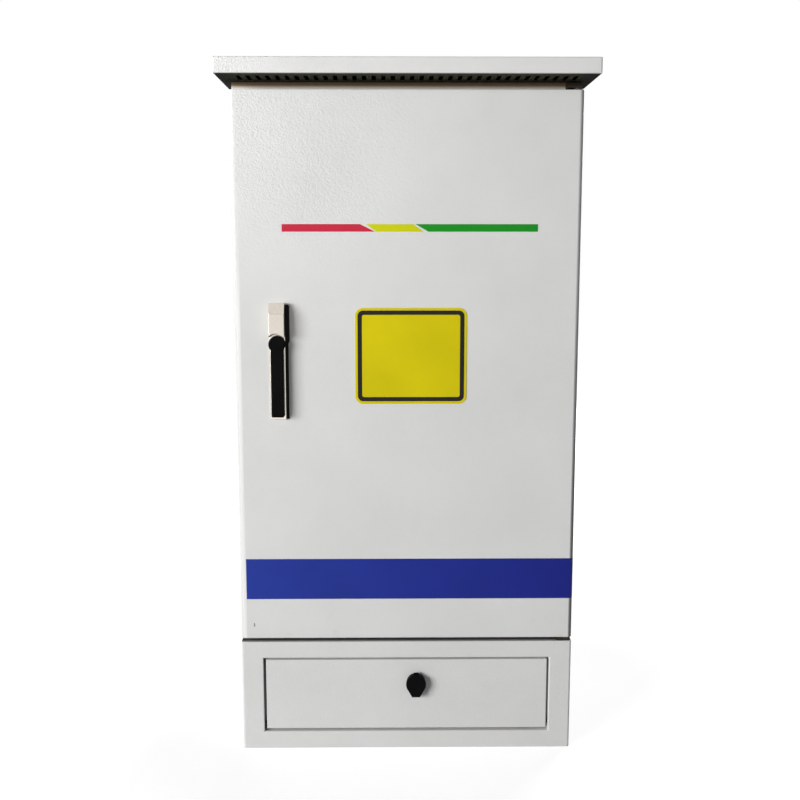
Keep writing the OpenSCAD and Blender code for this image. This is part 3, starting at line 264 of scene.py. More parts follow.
def powder_coat(name, light=COAT, worn=COAT_WORN, marks_and_painted_light=None, shine=COAT_SHINE, uneven=False):
    made, tree, shader, place = new_finish(name)
    patches = spread(tree, noise(tree, place, *CLOUDS), *CLOUD_RANGE)
    tone = mix(tree, patches, light, worn)
    grain = noise(tree, place, *GRAIN)
    tone = mix(tree, spread(tree, grain, *SPECKLE_RANGE), tone, worn)
    if marks_and_painted_light:
        tone = marks_and_painted_light(tree, place, tone)
    rounded = add(tree, "Bevel", {"samples": FOLD_SAMPLES}, Radius=FOLD_ROUNDING).outputs["Normal"]
    depth = thick_coat(tree, place) if uneven else GRAIN_EVEN
    bumps = add(tree, "Bump", Strength=depth, Distance=GRAIN_DEPTH, Height=grain, Normal=rounded)
    fill(tree, shader, Base_Color=tone, Roughness=spread(tree, grain, *GLOSS_RANGE),
         Normal=bumps.outputs["Normal"], Specular_IOR_Level=shine)
    return made


coat = powder_coat("powder_coat")
print("made", coat.name)

# %% [markdown]
# ## Marks on the door
# A cabinet that stands about picks up small marks. The door has a short dark chip near its lower left
# corner and faint rubbed patches below the band. A paler strip along its left fold is a painted highlight,
# and its right edge is greyed as painted shade, darker towards its foot. Marks could be painted by hand on
# the mesh, but a mask made from where a point is on the piece stays sharp and needs no picture: distance for
# the chip, and height and width for the rest.

# %% Mark the door
CHIP_AT, CHIP_SIZE = (-0.2755, -0.225, 0.2365), (0.0015, 0.01, 0.0042)
CHIP_GREY, CHIP_RANGE = colour(120, 118, 115), (0.7, 1.1, 0.75, 0.0)
RUBBED_GREY, RUBBED_HEIGHT = colour(170, 170, 168), (0.225, 0.275, 1.0, 0.0)
RUBS, RUB_RANGE = (26.0, 3.0, 0.6), (0.60, 0.74, 0.0, 0.22)
# Painted shade on the door's right bend, darker towards its foot.
BEND_FROM, BEND_TO, BEND_SHARE = 0.0075, 0.0055, 0.8
BEND_SHADE_GREY, BEND_SHADE_DARK, BEND_HEIGHT = grey(178), grey(84), (0.45, 0.88, 1.0, 0.0)
# Painted highlight along the door's left fold.
FOLD_HIGHLIGHT, FOLD_HIGHLIGHT_HEIGHT = colour(248, 248, 246), (0.80, 0.95, 1.0, 0.2)
FOLD_HIGHLIGHT_RISE, FOLD_HIGHLIGHT_FADE = (0.0042, 0.0056), (0.0090, 0.0120)
door_low, door_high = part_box("door_panel")


def offset(tree, place, origin):
    step = add(tree, "VectorMath", {"operation": "SUBTRACT"})
    tree.links.new(place, step.inputs[0])
    step.inputs[1].default_value = origin
    return step.outputs[0]


def chip_mask(tree, place):
    scaled = add(tree, "VectorMath", {"operation": "DIVIDE"})
    tree.links.new(offset(tree, place, CHIP_AT), scaled.inputs[0])
    scaled.inputs[1].default_value = CHIP_SIZE
    return spread(tree, length(tree, scaled.outputs[0]), *CHIP_RANGE)


def door_marks_and_painted_light(tree, place, tone):
    x, _, z = axes(tree, place)
    rubbed = product(tree, spread(tree, z, *RUBBED_HEIGHT),
                     spread(tree, noise(tree, place, *RUBS), *RUB_RANGE))
    tone = mix(tree, rubbed, tone, RUBBED_GREY)
    bend = spread(tree, x, door_high.x - BEND_FROM, door_high.x - BEND_TO, 0.0, BEND_SHARE)
    bend_shade = mix(tree, spread(tree, z, *BEND_HEIGHT), BEND_SHADE_GREY, BEND_SHADE_DARK)
    tone = mix(tree, bend, tone, bend_shade)
    highlight_from = spread(tree, x, door_low.x + FOLD_HIGHLIGHT_RISE[0], door_low.x + FOLD_HIGHLIGHT_RISE[1], 0.0, 1.0)
    highlight_to = spread(tree, x, door_low.x + FOLD_HIGHLIGHT_FADE[0], door_low.x + FOLD_HIGHLIGHT_FADE[1], 1.0, 0.0)
    pale = product(tree, highlight_from, highlight_to, spread(tree, z, *FOLD_HIGHLIGHT_HEIGHT))
    tone = mix(tree, pale, tone, FOLD_HIGHLIGHT)
    return mix(tree, chip_mask(tree, place), tone, CHIP_GREY)


door_coat = powder_coat("door_coat", marks_and_painted_light=door_marks_and_painted_light, uneven=True)
print("made", door_coat.name)

# %% [markdown]
# ## Painted shade under the eaves
# The roof's underside is painted dark as shade, greenish and darker towards the wall and its ends. Its
# faces could be given a finish of their own, but a mask can fade, and no face has to be picked by hand.
# Height tells the underside from the rest of the roof, and the thin hem around it is left as it is. The
# cut edges of the roof's slots are told from its flat sheet by the way they face, and are painted nearly
# black, as shade.

# %% Mark the roof
roof_low, roof_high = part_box("roof_cap")
SOFFIT, ROOF_SHEET, ROOF_HEM, SHEET_FADE = roof_low.z, 0.0018, 0.0015, 0.0002
EAVES_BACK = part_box("door_frame")[1].y
# Painted shade under the roof: greenish, darker towards the wall and the ends, nearly black on the slot
# walls.
SOFFIT_SHADE_GREEN, SOFFIT_SHADE_GREY, SOFFIT_SHADE_NOISE = colour(66, 70, 56), colour(86, 84, 72), (45.0, 3.0)
WALL_SHADE, WALL_SHADE_SHARE = colour(36, 34, 28), 0.55
END_SHADE, END_SHADE_SHARE, END_FROM, END_TO = grey(60), 0.8, 0.034, 0.026
SLOT_SHADE_BLACK, SLOT_FACING = colour(6, 6, 5), (0.3, 0.7, 1.0, 0.0)
ROOF_COAT, ROOF_WORN, ROOF_SHINE = colour(233, 233, 232), colour(222, 222, 220), 0.0


def size_of(tree, value):
    made = add(tree, "Math", {"operation": "ABSOLUTE"})
    tree.links.new(value, made.inputs[0])
    return made.outputs[0]


def facing(tree):
    return axes(tree, add(tree, "NewGeometry").outputs["True Normal"])


# Paints shade into the colour of the roof's underside and its slot walls.
def eaves_painted_shade(tree, place, tone):
    x, y, z = axes(tree, place)
    aside = size_of(tree, x)
    under = spread(tree, z, SOFFIT + ROOF_SHEET, SOFFIT + ROOF_SHEET + SHEET_FADE, 1.0, 0.0)
    behind = spread(tree, y, roof_low.y, roof_low.y + ROOF_HEM, 0.0, 1.0)
    before = spread(tree, y, roof_high.y - ROOF_HEM, roof_high.y, 1.0, 0.0)
    beside = spread(tree, aside, roof_high.x - ROOF_HEM, roof_high.x, 1.0, 0.0)
    soffit_shade = mix(tree, noise(tree, place, *SOFFIT_SHADE_NOISE), SOFFIT_SHADE_GREEN, SOFFIT_SHADE_GREY)
    to_wall = spread(tree, y, roof_low.y, EAVES_BACK, 0.0, WALL_SHADE_SHARE)
    soffit_shade = mix(tree, to_wall, soffit_shade, WALL_SHADE)
    to_end = spread(tree, aside, roof_high.x - END_FROM, roof_high.x - END_TO, 0.0, END_SHADE_SHARE)
    soffit_shade = mix(tree, to_end, soffit_shade, END_SHADE)
    slot_wall = spread(tree, size_of(tree, facing(tree)[2]), *SLOT_FACING)
    soffit_shade = mix(tree, slot_wall, soffit_shade, SLOT_SHADE_BLACK)
    return mix(tree, product(tree, under, behind, before, beside), tone, soffit_shade)


roof_coat = powder_coat("roof_coat", ROOF_COAT, ROOF_WORN, eaves_painted_shade, ROOF_SHINE, uneven=True)
print("made", roof_coat.name)

# %% [markdown]
# ## Painted shade on the frame, the plinth and the brackets
# The frame below the roof is painted with the roof's shadow, brown and darker towards the top. Painted
# shade also lies on the plinth's ledge below the door, the left wall of the flap's opening is painted
# black as shade, and the pivot brackets are painted dark as shade. These are masks by place as well, and the
# wall is found by the way it faces.

# %% Mark the frame, the plinth and the brackets
RAIL_TOP, RAIL_END, RAIL_SHARE = 0.0035, 0.0115, (0.0, 0.7, 0.0, 1.0)
RAIL_PALE, RAIL_BROWN = colour(190, 165, 130), colour(98, 82, 64)


# Painted shadow: the roof's shadow on the rail, in a brown tint, darker towards the top.
def rail_painted_shadow(tree, place, tone):
    height = axes(tree, place)[2]
    roof_shadow = spread(tree, height, SOFFIT - RAIL_END, SOFFIT - RAIL_TOP, 0.0, 1.0)
    brown = mix(tree, roof_shadow, RAIL_PALE, RAIL_BROWN)
    return mix(tree, spread(tree, roof_shadow, *RAIL_SHARE), tone, brown)


LEDGE, LEDGE_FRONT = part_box("plinth_frame")[1].z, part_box("plinth_frame")[0].y
LEDGE_SKIN, LEDGE_FADE = 0.0009, 0.0002
LEDGE_SHADE_FROM, LEDGE_SHADE_TO, LEDGE_SHARE = 0.002, 0.009, 0.95
# Painted shade on the ledge in the gap below the door.
LEDGE_SHADE_DARK, LEDGE_SHADE_PALE, LEDGE_SHADE_NOISE = colour(52, 54, 56), colour(78, 78, 76), (60.0, 3.0)
FLAP_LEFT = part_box("flap_panel")[0].x
GAP_WIDE, GAP_FADE, GAP_DEPTH = 0.009, 0.0005, 0.030
GAP_SHADE_BLACK, GAP_FACING = colour(14, 14, 13), (0.45, 0.95, 0.0, 0.97)
# Painted shade: the pivot brackets are coloured dark, as they sit in shade.
BRACKET_SHADE, BRACKET_SHADE_DARK, BRACKET_SHINE = colour(64, 58, 48), colour(46, 42, 36), 0.0


# Painted shade: the left wall of the flap's opening is painted nearly black.
def gap_shade_mask(tree, x, y):
    wall = spread(tree, facing(tree)[0], *GAP_FACING)
    gap_left, gap_back = FLAP_LEFT - GAP_WIDE, LEDGE_FRONT + GAP_DEPTH
    past_left = spread(tree, x, gap_left - GAP_FADE, gap_left, 0.0, 1.0)
    before_flap = spread(tree, x, FLAP_LEFT, FLAP_LEFT + GAP_FADE, 1.0, 0.0)
    near_front = spread(tree, y, gap_back, gap_back + GAP_FADE, 1.0, 0.0)
    return product(tree, wall, past_left, before_flap, near_front)


# Paints shade into the plinth's colour on its ledge and on the opening's left wall.
def plinth_painted_shade(tree, place, tone):
    x, y, z = axes(tree, place)
    ledge = spread(tree, z, LEDGE - LEDGE_SKIN, LEDGE - LEDGE_FADE, 0.0, 1.0)
    inward = spread(tree, y, LEDGE_FRONT + LEDGE_SHADE_FROM, LEDGE_FRONT + LEDGE_SHADE_TO, 0.0, LEDGE_SHARE)
    ledge_shade = mix(tree, noise(tree, place, *LEDGE_SHADE_NOISE), LEDGE_SHADE_DARK, LEDGE_SHADE_PALE)
    tone = mix(tree, product(tree, ledge, inward), tone, ledge_shade)
    return mix(tree, gap_shade_mask(tree, x, y), tone, GAP_SHADE_BLACK)


frame_coat = powder_coat("frame_coat", marks_and_painted_light=rail_painted_shadow)
plinth_coat = powder_coat("plinth_coat", marks_and_painted_light=plinth_painted_shade)
bracket_coat = powder_coat("bracket_coat", BRACKET_SHADE, BRACKET_SHADE_DARK, shine=BRACKET_SHINE)
print("made", frame_coat.name, plinth_coat.name, bracket_coat.name)

# %% [markdown]
# ## Coloured films
# The band and the three-coloured stripe are self-adhesive vinyl. Vinyl is smoother than the coat below
# it, but the coat's grain still prints through a little. So the film has the same kind of grain, with a
# weaker bump and a lower roughness, and a faint cloudiness in its colour. The long band's blue is mixed
# from two tints across the door, paler at its left.

# %% Make the films
# The band's blue goes from a paler tint at the left to a darker one at the right.
BAND_TINT_ACROSS = (-0.3, 0.3, 0.0, 1.0)
FILM_CLOUDS, FILM_CLOUD_RANGE, FILM_SHADE = (9.0, 4.0), (0.35, 0.7, 0.0, 0.6), (0.82, 0.82, 0.82, 1)
FILM_GRAIN, FILM_BUMP, FILM_DEPTH = (520.0, 2.0), 0.14, 0.0003
FILM_GLOSS, FILM_SHINE = (0.3, 0.7, 0.34, 0.46), 0.18


def vinyl_film(name, tint, far_tint=None):
    made, tree, shader, place = new_finish(name)
    tone = tint
    if far_tint:
        tone = mix(tree, spread(tree, axes(tree, place)[0], *BAND_TINT_ACROSS), tint, far_tint)
    clouds = spread(tree, noise(tree, place, *FILM_CLOUDS), *FILM_CLOUD_RANGE)
    tone = mix(tree, clouds, tone, mix(tree, 1.0, tone, FILM_SHADE, "MULTIPLY"))
    grain = noise(tree, place, *FILM_GRAIN)
    bumps = add(tree, "Bump", Strength=FILM_BUMP, Distance=FILM_DEPTH, Height=grain).outputs["Normal"]
    fill(tree, shader, Base_Color=tone, Roughness=spread(tree, grain, *FILM_GLOSS), Normal=bumps,
         Specular_IOR_Level=FILM_SHINE)
    return made


blue_film = vinyl_film("blue_film", colour(37, 58, 155), colour(20, 32, 131))
red_film = vinyl_film("red_film", colour(206, 46, 70))
amber_film = vinyl_film("amber_film", colour(212, 214, 18))
green_film = vinyl_film("green_film", colour(24, 146, 34))
sign_yellow = vinyl_film("sign_yellow", colour(222, 206, 6))
sign_black = vinyl_film("sign_black", colour(24, 22, 20))
print("films made:", [m.name for m in bpy.data.materials if "film" in m.name])

# %% [markdown]
# ## Bare metal
# Inside, the posts, plates, rods and bolts are zinc plated, which shows a soft crystal pattern; the
# lock's base is satin chrome; the earth bar is brass. All are metals with the same recipe: a metallic
# shader, a tint that varies a little, and a roughness that follows a fine scratch noise which is
# stretched along one direction, as polishing leaves it. A dark line of painted shade lies along the round
# foot of the lock's key cover, on the side where the lever's hub comes closest, and the lock's left side
# is painted darker, as painted shade that dims its reflection.

# %% Make the metals
# Painted shade: a dark line below the key cover's foot.
FOOT_LINE_R, FOOT_LINE_W, FOOT_LINE_FADE = 0.0177, 0.0017, 0.0003
FOOT_SHADE, FOOT_UP, FOOT_ACROSS = colour(26, 20, 16), (0.004, 0.007, 0.0, 1.0), (-0.008, 0.005, 1.0, 0.0)
# Painted shade: the lock's left side is darker, which dims its reflection.
LEFT_SIDE_SHADE, LEFT_SIDE_FACING = colour(136, 130, 121), (-0.6, -0.2, 0.85, 0.0)
spindle_low, spindle_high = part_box("lock_spindle")
lock_axis = (spindle_low + spindle_high) / 2


def lock_painted_shade(tree, place, tone):
    x, _, z = axes(tree, offset(tree, place, lock_axis))
    away = length(tree, add(tree, "CombineXYZ", X=x, Z=z).outputs[0])
    line_end = FOOT_LINE_R + FOOT_LINE_W
    outside = spread(tree, away, FOOT_LINE_R - FOOT_LINE_FADE, FOOT_LINE_R, 0.0, 1.0)
    inside = spread(tree, away, line_end, line_end + FOOT_LINE_FADE, 1.0, 0.0)
    line = product(tree, outside, inside, spread(tree, z, *FOOT_UP), spread(tree, x, *FOOT_ACROSS))
    tone = mix(tree, line, tone, FOOT_SHADE)
    return mix(tree, spread(tree, facing(tree)[0], *LEFT_SIDE_FACING), tone, LEFT_SIDE_SHADE)


LEVEL_LINES, UPRIGHT_LINES = (1, 1, 12), (12, 1, 1)
SCRATCHES, SCRATCH_RANGE = (180.0, 3.0, 0.6), (0.3, 0.7, 0.0, 1.0)
CRYSTAL_SCALE, ZINC_CRYSTAL = 70.0, 0.8
METAL_ROUNDING, METAL_SAMPLES, METAL_BUMP, METAL_DEPTH = 0.0005, 4, 0.10, 0.0002
METAL_GLOSS_FROM = (0.25, 0.75)


def bare_metal(name, tint, shade, smooth, rough, lines=LEVEL_LINES, crystal=0.0, marks_and_painted_light=None):
    made, tree, shader, place = new_finish(name)
    lined = add(tree, "Mapping", Vector=place, Scale=lines).outputs["Vector"]
    scratches = noise(tree, lined, *SCRATCHES)
    cells = add(tree, "TexVoronoi", Vector=place, Scale=CRYSTAL_SCALE).outputs["Color"]
    cell_tone = add(tree, "RGBToBW", Color=cells).outputs["Val"]
    tone = mix(tree, spread(tree, scratches, *SCRATCH_RANGE), tint, shade)
    tone = mix(tree, spread(tree, cell_tone, 0.0, 1.0, 0.0, crystal), tone, shade)
    if marks_and_painted_light:
        tone = marks_and_painted_light(tree, place, tone)
    rounded = add(tree, "Bevel", {"samples": METAL_SAMPLES}, Radius=METAL_ROUNDING).outputs["Normal"]
    bumps = add(tree, "Bump", Strength=METAL_BUMP, Distance=METAL_DEPTH, Height=scratches, Normal=rounded)
    fill(tree, shader, Base_Color=tone, Metallic=1.0, Normal=bumps.outputs["Normal"],
         Roughness=spread(tree, scratches, *METAL_GLOSS_FROM, smooth, rough))
    return made


dull_zinc = bare_metal("dull_zinc", colour(92, 92, 90), colour(60, 60, 58), 0.55, 0.70, crystal=ZINC_CRYSTAL)
zinc = bare_metal("zinc_plate", colour(196, 200, 204), colour(160, 166, 172), 0.30, 0.44,
                  crystal=ZINC_CRYSTAL)
chrome = bare_metal("satin_chrome", colour(222, 214, 204), colour(206, 197, 186), 0.16, 0.26,
                    UPRIGHT_LINES, marks_and_painted_light=lock_painted_shade)
brass = bare_metal("brass", colour(206, 168, 92), colour(176, 138, 70), 0.24, 0.38, UPRIGHT_LINES)
print("metals made:", dull_zinc.name, zinc.name, chrome.name, brass.name)

# %% [markdown]
# ## Plastics, rubber and glass
# Moulded plastic has a spark-eroded texture: very fine, even bumps that break up the shine. Rubber is
# the same with more roughness. One function makes them all from a colour, a shine and a grain size. The
# display's window is dark and glossy, so it gets a clear coat instead of grain.

# %% Make the plastics, the rubber and the window
PLASTIC_LIFT, PLASTIC_ADD = 1.12, 0.004
PLASTIC_CLOUDS, PLASTIC_CLOUD_RANGE = (14.0, 4.0), (0.35, 0.7, 0.0, 0.7)
PLASTIC_ROUNDING, PLASTIC_SAMPLES, PLASTIC_DEPTH = 0.0006, 4, 0.0002
PLASTIC_GLOSS_FROM = (0.3, 0.7)


def moulded(name, tint, smooth, rough, grain_scale=900.0, bump=0.12, shine=0.4):
    made, tree, shader, place = new_finish(name)
    pale = tuple(min(1.0, c * PLASTIC_LIFT + PLASTIC_ADD) for c in tint[:3]) + (1.0,)
    clouds = spread(tree, noise(tree, place, *PLASTIC_CLOUDS), *PLASTIC_CLOUD_RANGE)
    tone = mix(tree, clouds, tint, pale)
    grain = noise(tree, place, grain_scale)
    rounded = add(tree, "Bevel", {"samples": PLASTIC_SAMPLES}, Radius=PLASTIC_ROUNDING).outputs["Normal"]
    bumps = add(tree, "Bump", Strength=bump, Distance=PLASTIC_DEPTH, Height=grain, Normal=rounded)
    fill(tree, shader, Base_Color=tone, Normal=bumps.outputs["Normal"], Specular_IOR_Level=shine,
         Roughness=spread(tree, grain, *PLASTIC_GLOSS_FROM, smooth, rough))
    return made


black_plastic = moulded("black_plastic", colour(5, 5, 6), 0.42, 0.54, shine=0.03)
white_plastic = moulded("white_plastic", colour(226, 226, 221), 0.38, 0.50)
grey_plastic = moulded("grey_plastic", colour(112, 118, 124), 0.45, 0.60)
module_front = moulded("module_front", colour(198, 201, 200), 0.36, 0.48)
chassis_paint = moulded("chassis_paint", colour(176, 180, 178), 0.42, 0.55, grain_scale=600.0, bump=0.2)
terminal_plastic = moulded("terminal_plastic", colour(98, 110, 96), 0.45, 0.60)
red_plastic = moulded("red_plastic", colour(186, 28, 26), 0.28, 0.40)
amber_plastic = moulded("amber_plastic", colour(226, 164, 18), 0.28, 0.40)
green_plastic = moulded("green_plastic", colour(20, 134, 52), 0.28, 0.40)
rubber = moulded("black_rubber", colour(16, 16, 16), 0.68, 0.82, grain_scale=500.0, bump=0.25, shine=0.10)

GLASS_DARK, GLASS_PALE, GLASS_CLOUDS = colour(34, 48, 42), colour(48, 66, 56), (25.0, 3.0)
GLASS_SMEARS, GLASS_GLOSS, GLASS_COAT_ROUGHNESS = 300.0, (0.3, 0.7, 0.10, 0.18), 0.03
window_glass, window_tree, window_shader, window_place = new_finish("display_window")
window_tone = mix(window_tree, noise(window_tree, window_place, *GLASS_CLOUDS), GLASS_DARK, GLASS_PALE)
smears = noise(window_tree, window_place, GLASS_SMEARS)
fill(window_tree, window_shader, Base_Color=window_tone, Coat_Weight=1.0,
     Coat_Roughness=GLASS_COAT_ROUGHNESS, Roughness=spread(window_tree, smears, *GLASS_GLOSS))
print("plastics made:", [m.name for m in bpy.data.materials if "plastic" in m.name])

# %% [markdown]
# ## Dress the solids
# Each CAD solid already has the right shape, so it only needs its finish. A list of which solids share a
# finish is easier to check than one line for each, and a count at the end shows that none was missed.

# %% Give each solid its finish
wardrobe = {
    coat: ["cabinet_shell", "top_panel", "floor_panel", "flap_panel"],
    plinth_coat: ["plinth_frame"],
    frame_coat: ["door_frame"],
    bracket_coat: ["top_pivot_bracket", "bottom_pivot_bracket"],
    door_coat: ["door_panel"],
    roof_coat: ["roof_cap"],
    zinc: ["cabinet_bolts", "gland_plate", "rack_post_left", "rack_post_right", "mounting_plate",
           "din_rail", "lock_nut", "lever_pin", "lock_spindle", "latch_cam", "upper_rod", "lower_rod",
           "flap_lock_cam"],
    dull_zinc: ["pivot_pins", "flap_hinge_pins"],
    chrome: ["lock_base", "key_cover"],
    brass: ["earth_bar", "key_cylinder"],
    black_plastic: ["main_toggle", "lamp_toggle", "fan_frame", "fan_rotor", "lock_lever",
                    "flap_lock_body", "flap_lock_cap"],
    white_plastic: ["main_breaker", "lamp_breaker", "rod_guides"],
    grey_plastic: ["document_pocket"],
    module_front: ["power_module", "processor_module", "driver_module_1", "driver_module_2",
                   "driver_module_3", "driver_module_4"],
    chassis_paint: ["controller_chassis", "operator_panel"],
    terminal_plastic: ["terminal_strip"],
    red_plastic: ["step_button", "surge_arrester"],
    amber_plastic: ["flash_button"],
    green_plastic: ["auto_button"],
    rubber: ["cable_grommets", "door_gasket"],
    window_glass: ["display_window"],
    blue_film: ["band_film"],
    red_film: ["red_stripe"],
    amber_film: ["amber_stripe"],
    green_film: ["green_stripe"],
}
dressed = set()
for finish, names in wardrobe.items():
    for name in names:
        mesh = nodes[name].data
        mesh.materials.clear()
        mesh.materials.append(finish)
        dressed.add(name)
print("dressed", len(dressed), "of", len(nodes), "missing:", sorted(set(nodes) - dressed))

# %% [markdown]
# ## Building small pieces from rings
# Signs, screws, lamps and wires are added as meshes. Most of them are stacks of rings: a plate is a
# round-cornered ring that steps back at its edge, and a screw is a circle that rises, curves in and
# drops into its socket. Joining one ring to the next gives clean quads and full control of the edge,
# which a primitive with a bevel modifier would not. The ends are closed, or the last ring is joined to
# the first, so that every piece is a whole solid.

# %% Helpers for meshes
SHARP_DEG, CORNER_STEPS = 38, 7


def finish_piece(name, mesh, finish, body):
    data = bpy.data.meshes.new(name)
    bmesh.ops.recalc_face_normals(mesh, faces=mesh.faces)
    mesh.to_mesh(data)
    mesh.free()
    for face in data.polygons:
        face.use_smooth = True
    data.set_sharp_from_angle(angle=math.radians(SHARP_DEG))
    data.materials.append(finish)
    piece = bpy.data.objects.new(name, data)
    bpy.context.scene.collection.objects.link(piece)
    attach(piece, body)


def join_rings(mesh, rings, loop=False):
    rows = [[mesh.verts.new(p) for p in ring] for ring in rings]
    count = len(rows[0])
    for low, high in zip(rows, rows[1:] + rows[:1] if loop else rows[1:]):
        for i in range(count):
            mesh.faces.new((low[i], low[(i + 1) % count], high[(i + 1) % count], high[i]))
    if not loop:
        mesh.faces.new(rows[0][::-1])
        mesh.faces.new(rows[-1])


def round_outline(width, height, radius):
    points = []
    for turn, (sx, sz) in enumerate(((1, 1), (-1, 1), (-1, -1), (1, -1))):
        for i in range(CORNER_STEPS + 1):
            a = math.radians(90 * turn + 90 * i / CORNER_STEPS)
            points.append((sx * (width / 2 - radius) + radius * math.cos(a),
                           sz * (height / 2 - radius) + radius * math.sin(a)))
    return points


def front_ring(width, height, radius, centre, y):
    return [(centre[0] + x, y, centre[1] + z) for x, z in round_outline(width, height, radius)]


def turned(mesh, at, facing_to, profile, sides=20, ridged=1.0):
    aim = Vector(facing_to).to_track_quat("Z", "Y").to_matrix()
    rings = []
    for radius, height, *hexed in profile:
        ring = []
        for i in range(sides):
            a = 2 * math.pi * i / sides
            r = radius if i % 2 else radius * ridged
            if hexed:
                r = radius * math.cos(math.pi / 6) / math.cos((a % (math.pi / 3)) - math.pi / 6)
            ring.append(Vector(at) + aim @ Vector((r * math.cos(a), r * math.sin(a), height)))
        rings.append(ring)
    join_rings(mesh, rings)


DOOR_FACE = door_low.y
print("the door's face is at y =", round(DOOR_FACE, 4))

# %% [markdown]
# ## The blank sign
# A sign sits in the middle of the door: a plain yellow field with a black line around it. On the real
# door it is a thin sheet that is stuck on, and so it is here, with rounded corners and a softened edge.
# The line could be a mask in the plate's finish. It is a second, thinner sheet with a hole, laid on the
# plate, so that each colour is a piece of its own and can be given its own slot.

# %% Make the sign
SIGN_W, SIGN_H, SIGN_R = 0.195, 0.168, 0.014
SIGN_T, SIGN_EDGE = 0.0008, 0.0003
SIGN_CENTRE = (0.0071, 0.725)
sign_face = DOOR_FACE - SIGN_T
sign = bmesh.new()
join_rings(sign, [
    front_ring(SIGN_W, SIGN_H, SIGN_R, SIGN_CENTRE, DOOR_FACE),
    front_ring(SIGN_W, SIGN_H, SIGN_R, SIGN_CENTRE, sign_face + SIGN_EDGE),
    front_ring(SIGN_W - 2 * SIGN_EDGE, SIGN_H - 2 * SIGN_EDGE, SIGN_R - SIGN_EDGE, SIGN_CENTRE, sign_face),
])
finish_piece("sign_plate", sign, sign_yellow, "door")

LINE_INSET, LINE_W, LINE_T, LINE_INNER_R = 0.0045, 0.0075, 0.00015, 0.004
line_face = sign_face - LINE_T
outer = [SIGN_W - 2 * LINE_INSET, SIGN_H - 2 * LINE_INSET, SIGN_R - LINE_INSET]
inner = [outer[0] - 2 * LINE_W, outer[1] - 2 * LINE_W, max(outer[2] - LINE_W, LINE_INNER_R)]
line = bmesh.new()
join_rings(line, [
    front_ring(*outer, SIGN_CENTRE, sign_face), front_ring(*outer, SIGN_CENTRE, line_face),
    front_ring(*inner, SIGN_CENTRE, line_face), front_ring(*inner, SIGN_CENTRE, sign_face),
], loop=True)
finish_piece("sign_line", line, sign_black, "door")
print("sign:", SIGN_W, "x", SIGN_H, "m")

# %% [markdown]
# ## The dark strip beside the lock
# A thin black strip lies on the door's face along the right of the lock's base, a little wider beside
# the thick upper block. A piece behind the whole base would have to pass through it, and only the strip
# shows, so it is a flat strip with a soft edge, laid on the door's face, in the black rubber finish.

# %% Make the dark strip beside the lock
DARK_STRIP_T, DARK_STRIP_EDGE = 0.0016, 0.0005
DARK_STRIP_WIDE, DARK_STRIP_NARROW = 0.0072, 0.0052
DARK_STRIP_DROP, DARK_STRIP_STEP_DROP, DARK_STRIP_FOOT_LIFT = 0.0035, 0.066, 0.0008
DARK_STRIP_SLOPE, DARK_STRIP_CORNER = 0.004, 0.002
base_low, base_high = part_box("lock_base")
strip_top, strip_step = base_high.z - DARK_STRIP_DROP, base_high.z - DARK_STRIP_STEP_DROP
strip_foot = base_low.z + DARK_STRIP_FOOT_LIFT


def strip_ring(y, inset):
    left = base_high.x
    wide, narrow = left + DARK_STRIP_WIDE - inset, left + DARK_STRIP_NARROW - inset
    return [(left, y, strip_foot + inset), (narrow, y, strip_foot + inset), (narrow, y, strip_step - DARK_STRIP_SLOPE),
            (wide, y, strip_step), (wide, y, strip_top - DARK_STRIP_CORNER), (wide - DARK_STRIP_CORNER, y, strip_top - inset),
            (left, y, strip_top - inset)]


# A flat black strip laid on the door beside the lock's base.
dark_strip = bmesh.new()
join_rings(dark_strip, [strip_ring(DOOR_FACE, 0), strip_ring(DOOR_FACE - DARK_STRIP_T + DARK_STRIP_EDGE, 0),
                 strip_ring(DOOR_FACE - DARK_STRIP_T, DARK_STRIP_EDGE)])
finish_piece("lock_dark_strip", dark_strip, rubber, "door")
print("pad shows", DARK_STRIP_WIDE * 1000, "mm beside the base")

# %% [markdown]
# ## Screws
# Button-head screws hold the panels to the rack's holes, the fan to the ceiling and the gland plate to
# the floor. One profile is turned for all of them: up the side, over the dome and down into a six-sided
# socket. Its points are shares of the head's radius and height, with a mark on those that are
# six-sided. All the screws of one place are joined in one mesh, because they never move apart.

# %% Fit the screws
SCREW_HEIGHT, SCREW_SIDES = 0.62, 24
SCREW_PROFILE = ((1.0, 0.0), (1.0, 0.3), (0.88, 0.72), (0.66, 0.98), (0.5, 1.0, 1), (0.5, 0.4, 1))
FRONT, UP, DOWN = (0, -1, 0), (0, 0, 1), (0, 0, -1)


def scaled_profile(profile, radius, height):
    return [(share * radius, rise * height, *hexed) for share, rise, *hexed in profile]


def screw(mesh, at, facing_to, radius):
    turned(mesh, at, facing_to, scaled_profile(SCREW_PROFILE, radius, radius * SCREW_HEIGHT), SCREW_SIDES)


def screw_set(name, places, facing_to, radius, finish=zinc):
    mesh = bmesh.new()
    for at in places:
        screw(mesh, at, facing_to, radius)
    finish_piece(name, mesh, finish, "carcass")


RACK_EDGE, RACK_UNIT, RACK_MARGIN = 0.00875, 0.04445, 0.008
RACK_SCREW_R, GLAND_SCREW_R, FAN_SCREW_R = 0.0062, 0.0055, 0.0042
RACK_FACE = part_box("mounting_plate")[0].y
rack_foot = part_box("rack_post_left")[0].z
rack_places = []
for panel in ("mounting_plate", "operator_panel", "controller_chassis"):
    low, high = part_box(panel)
    first_hole = math.ceil((low.z + RACK_MARGIN - rack_foot) / RACK_UNIT)
    last_hole = math.floor((high.z - RACK_MARGIN - rack_foot) / RACK_UNIT)
    for x in (low.x + RACK_EDGE, high.x - RACK_EDGE):
        for hole in (first_hole, last_hole):
            rack_places.append((x, RACK_FACE, rack_foot + hole * RACK_UNIT))
screw_set("rack_screws", rack_places, FRONT, RACK_SCREW_R)

